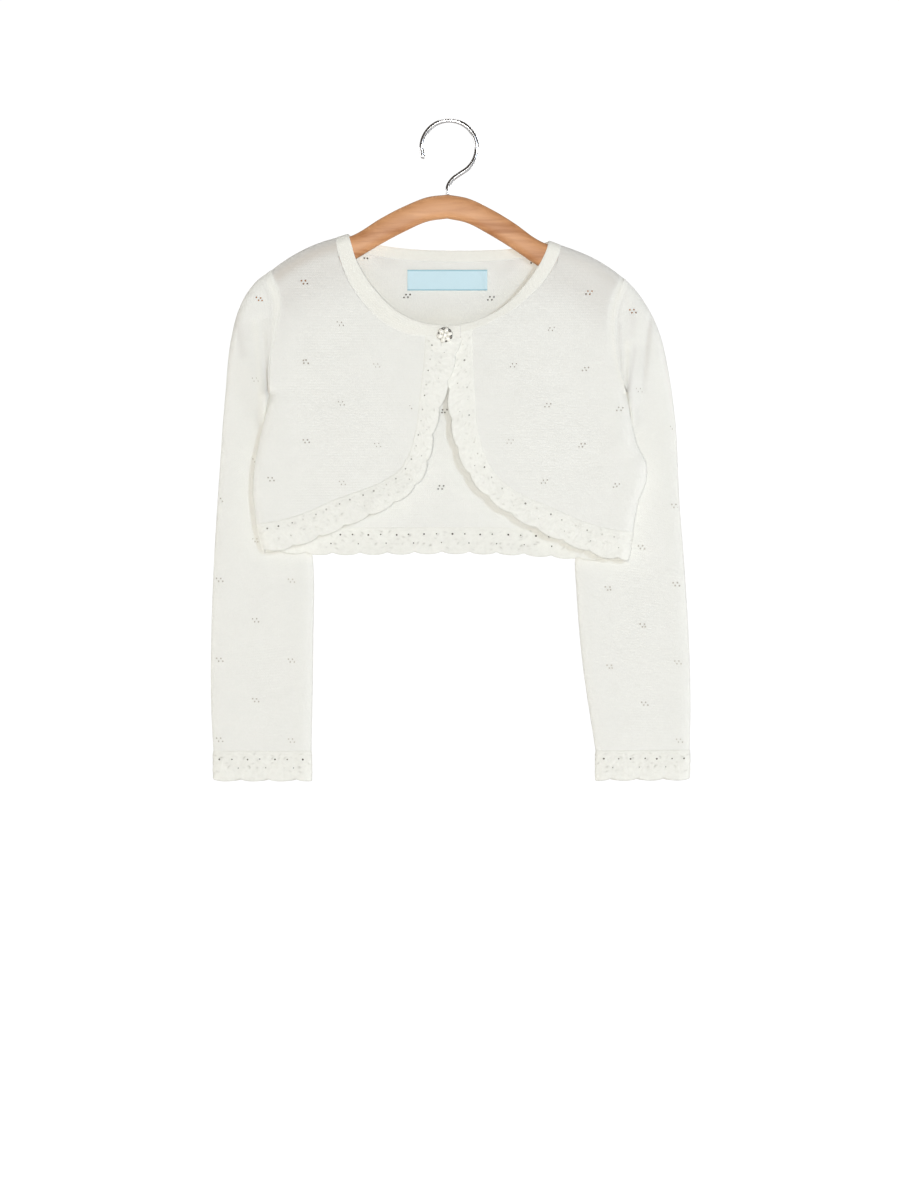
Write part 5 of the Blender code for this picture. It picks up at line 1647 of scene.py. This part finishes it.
class SHRUG_OT_neck_band(bpy.types.Operator):
    """Add the folded neck band."""

    bl_idname = "shrug.neck_band"
    bl_label = "Add Neck Band"

    def execute(self, context):
        build_neck_band()
        return {"FINISHED"}


class SHRUG_OT_edging(bpy.types.Operator):
    """Add the crochet shells down the fronts, along the back hem and round the cuffs."""

    bl_idname = "shrug.edging"
    bl_label = "Add Edging"

    def execute(self, context):
        for half in HALVES:
            build_edging(f"trim_front_{half.name}", half.trim_seam, half.trim_edge, half.shells,
                         partial(front, half=half), (0, -1, 0))
        build_edging("trim_back", HEM_SEAM_BACK, HEM_EDGE_BACK, SHELLS_BACK, back, (0, 1, 0))
        for half in HALVES:
            build_cuff(half)
        return {"FINISHED"}


class SHRUG_OT_label(bpy.types.Operator):
    """Add the bare woven neck label."""

    bl_idname = "shrug.label"
    bl_label = "Add Label"

    def execute(self, context):
        build_label()
        return {"FINISHED"}


class SHRUG_OT_button(bpy.types.Operator):
    """Add the flower button."""

    bl_idname = "shrug.button"
    bl_label = "Add Button"

    def execute(self, context):
        build_button()
        return {"FINISHED"}


class SHRUG_OT_hanger(bpy.types.Operator):
    """Add the wooden hanger and its wire hook."""

    bl_idname = "shrug.hanger"
    bl_label = "Add Hanger"

    def execute(self, context):
        build_hanger_bar()
        build_hook()
        return {"FINISHED"}


class SHRUG_OT_stage(bpy.types.Operator):
    """Add the pale floor, the soft lights and the camera."""

    bl_idname = "shrug.stage"
    bl_label = "Add Stage"

    def execute(self, context):
        build_stage()
        return {"FINISHED"}


OPERATORS = (SHRUG_OT_finishes, SHRUG_OT_back, SHRUG_OT_fronts, SHRUG_OT_sleeves, SHRUG_OT_neck_band,
             SHRUG_OT_edging, SHRUG_OT_label, SHRUG_OT_button, SHRUG_OT_hanger, SHRUG_OT_stage)


class SHRUG_PT_panel(bpy.types.Panel):
    """Lists the shrug's sizes, colours and pieces."""

    bl_idname = "SHRUG_PT_panel"
    bl_label = "Knitted Shrug"
    bl_space_type = "VIEW_3D"
    bl_region_type = "UI"
    bl_category = "Shrug"

    def draw(self, context):
        column = self.layout.column()
        for group in (context.scene.shrug_sizes, context.scene.shrug_colours):
            for name in group.__annotations__:
                column.prop(group, name)
        for operator in OPERATORS:
            column.operator(operator.bl_idname)


def register():
    for made in (ShrugSizes, ShrugColours, *OPERATORS, SHRUG_PT_panel):
        bpy.utils.register_class(made)
    bpy.types.Scene.shrug_sizes = PointerProperty(type=ShrugSizes)
    bpy.types.Scene.shrug_colours = PointerProperty(type=ShrugColours)


def unregister():
    del bpy.types.Scene.shrug_colours
    del bpy.types.Scene.shrug_sizes
    for made in (SHRUG_PT_panel, *reversed(OPERATORS), ShrugColours, ShrugSizes):
        bpy.utils.unregister_class(made)


def main():
    register()
    for name in ("Cube", "Light", "Camera"):
        if name in bpy.data.objects:
            bpy.data.objects.remove(bpy.data.objects[name])
    for operator in OPERATORS:
        getattr(bpy.ops.shrug, operator.bl_idname.split(".")[1])()


if __name__ == "__main__":
    main()
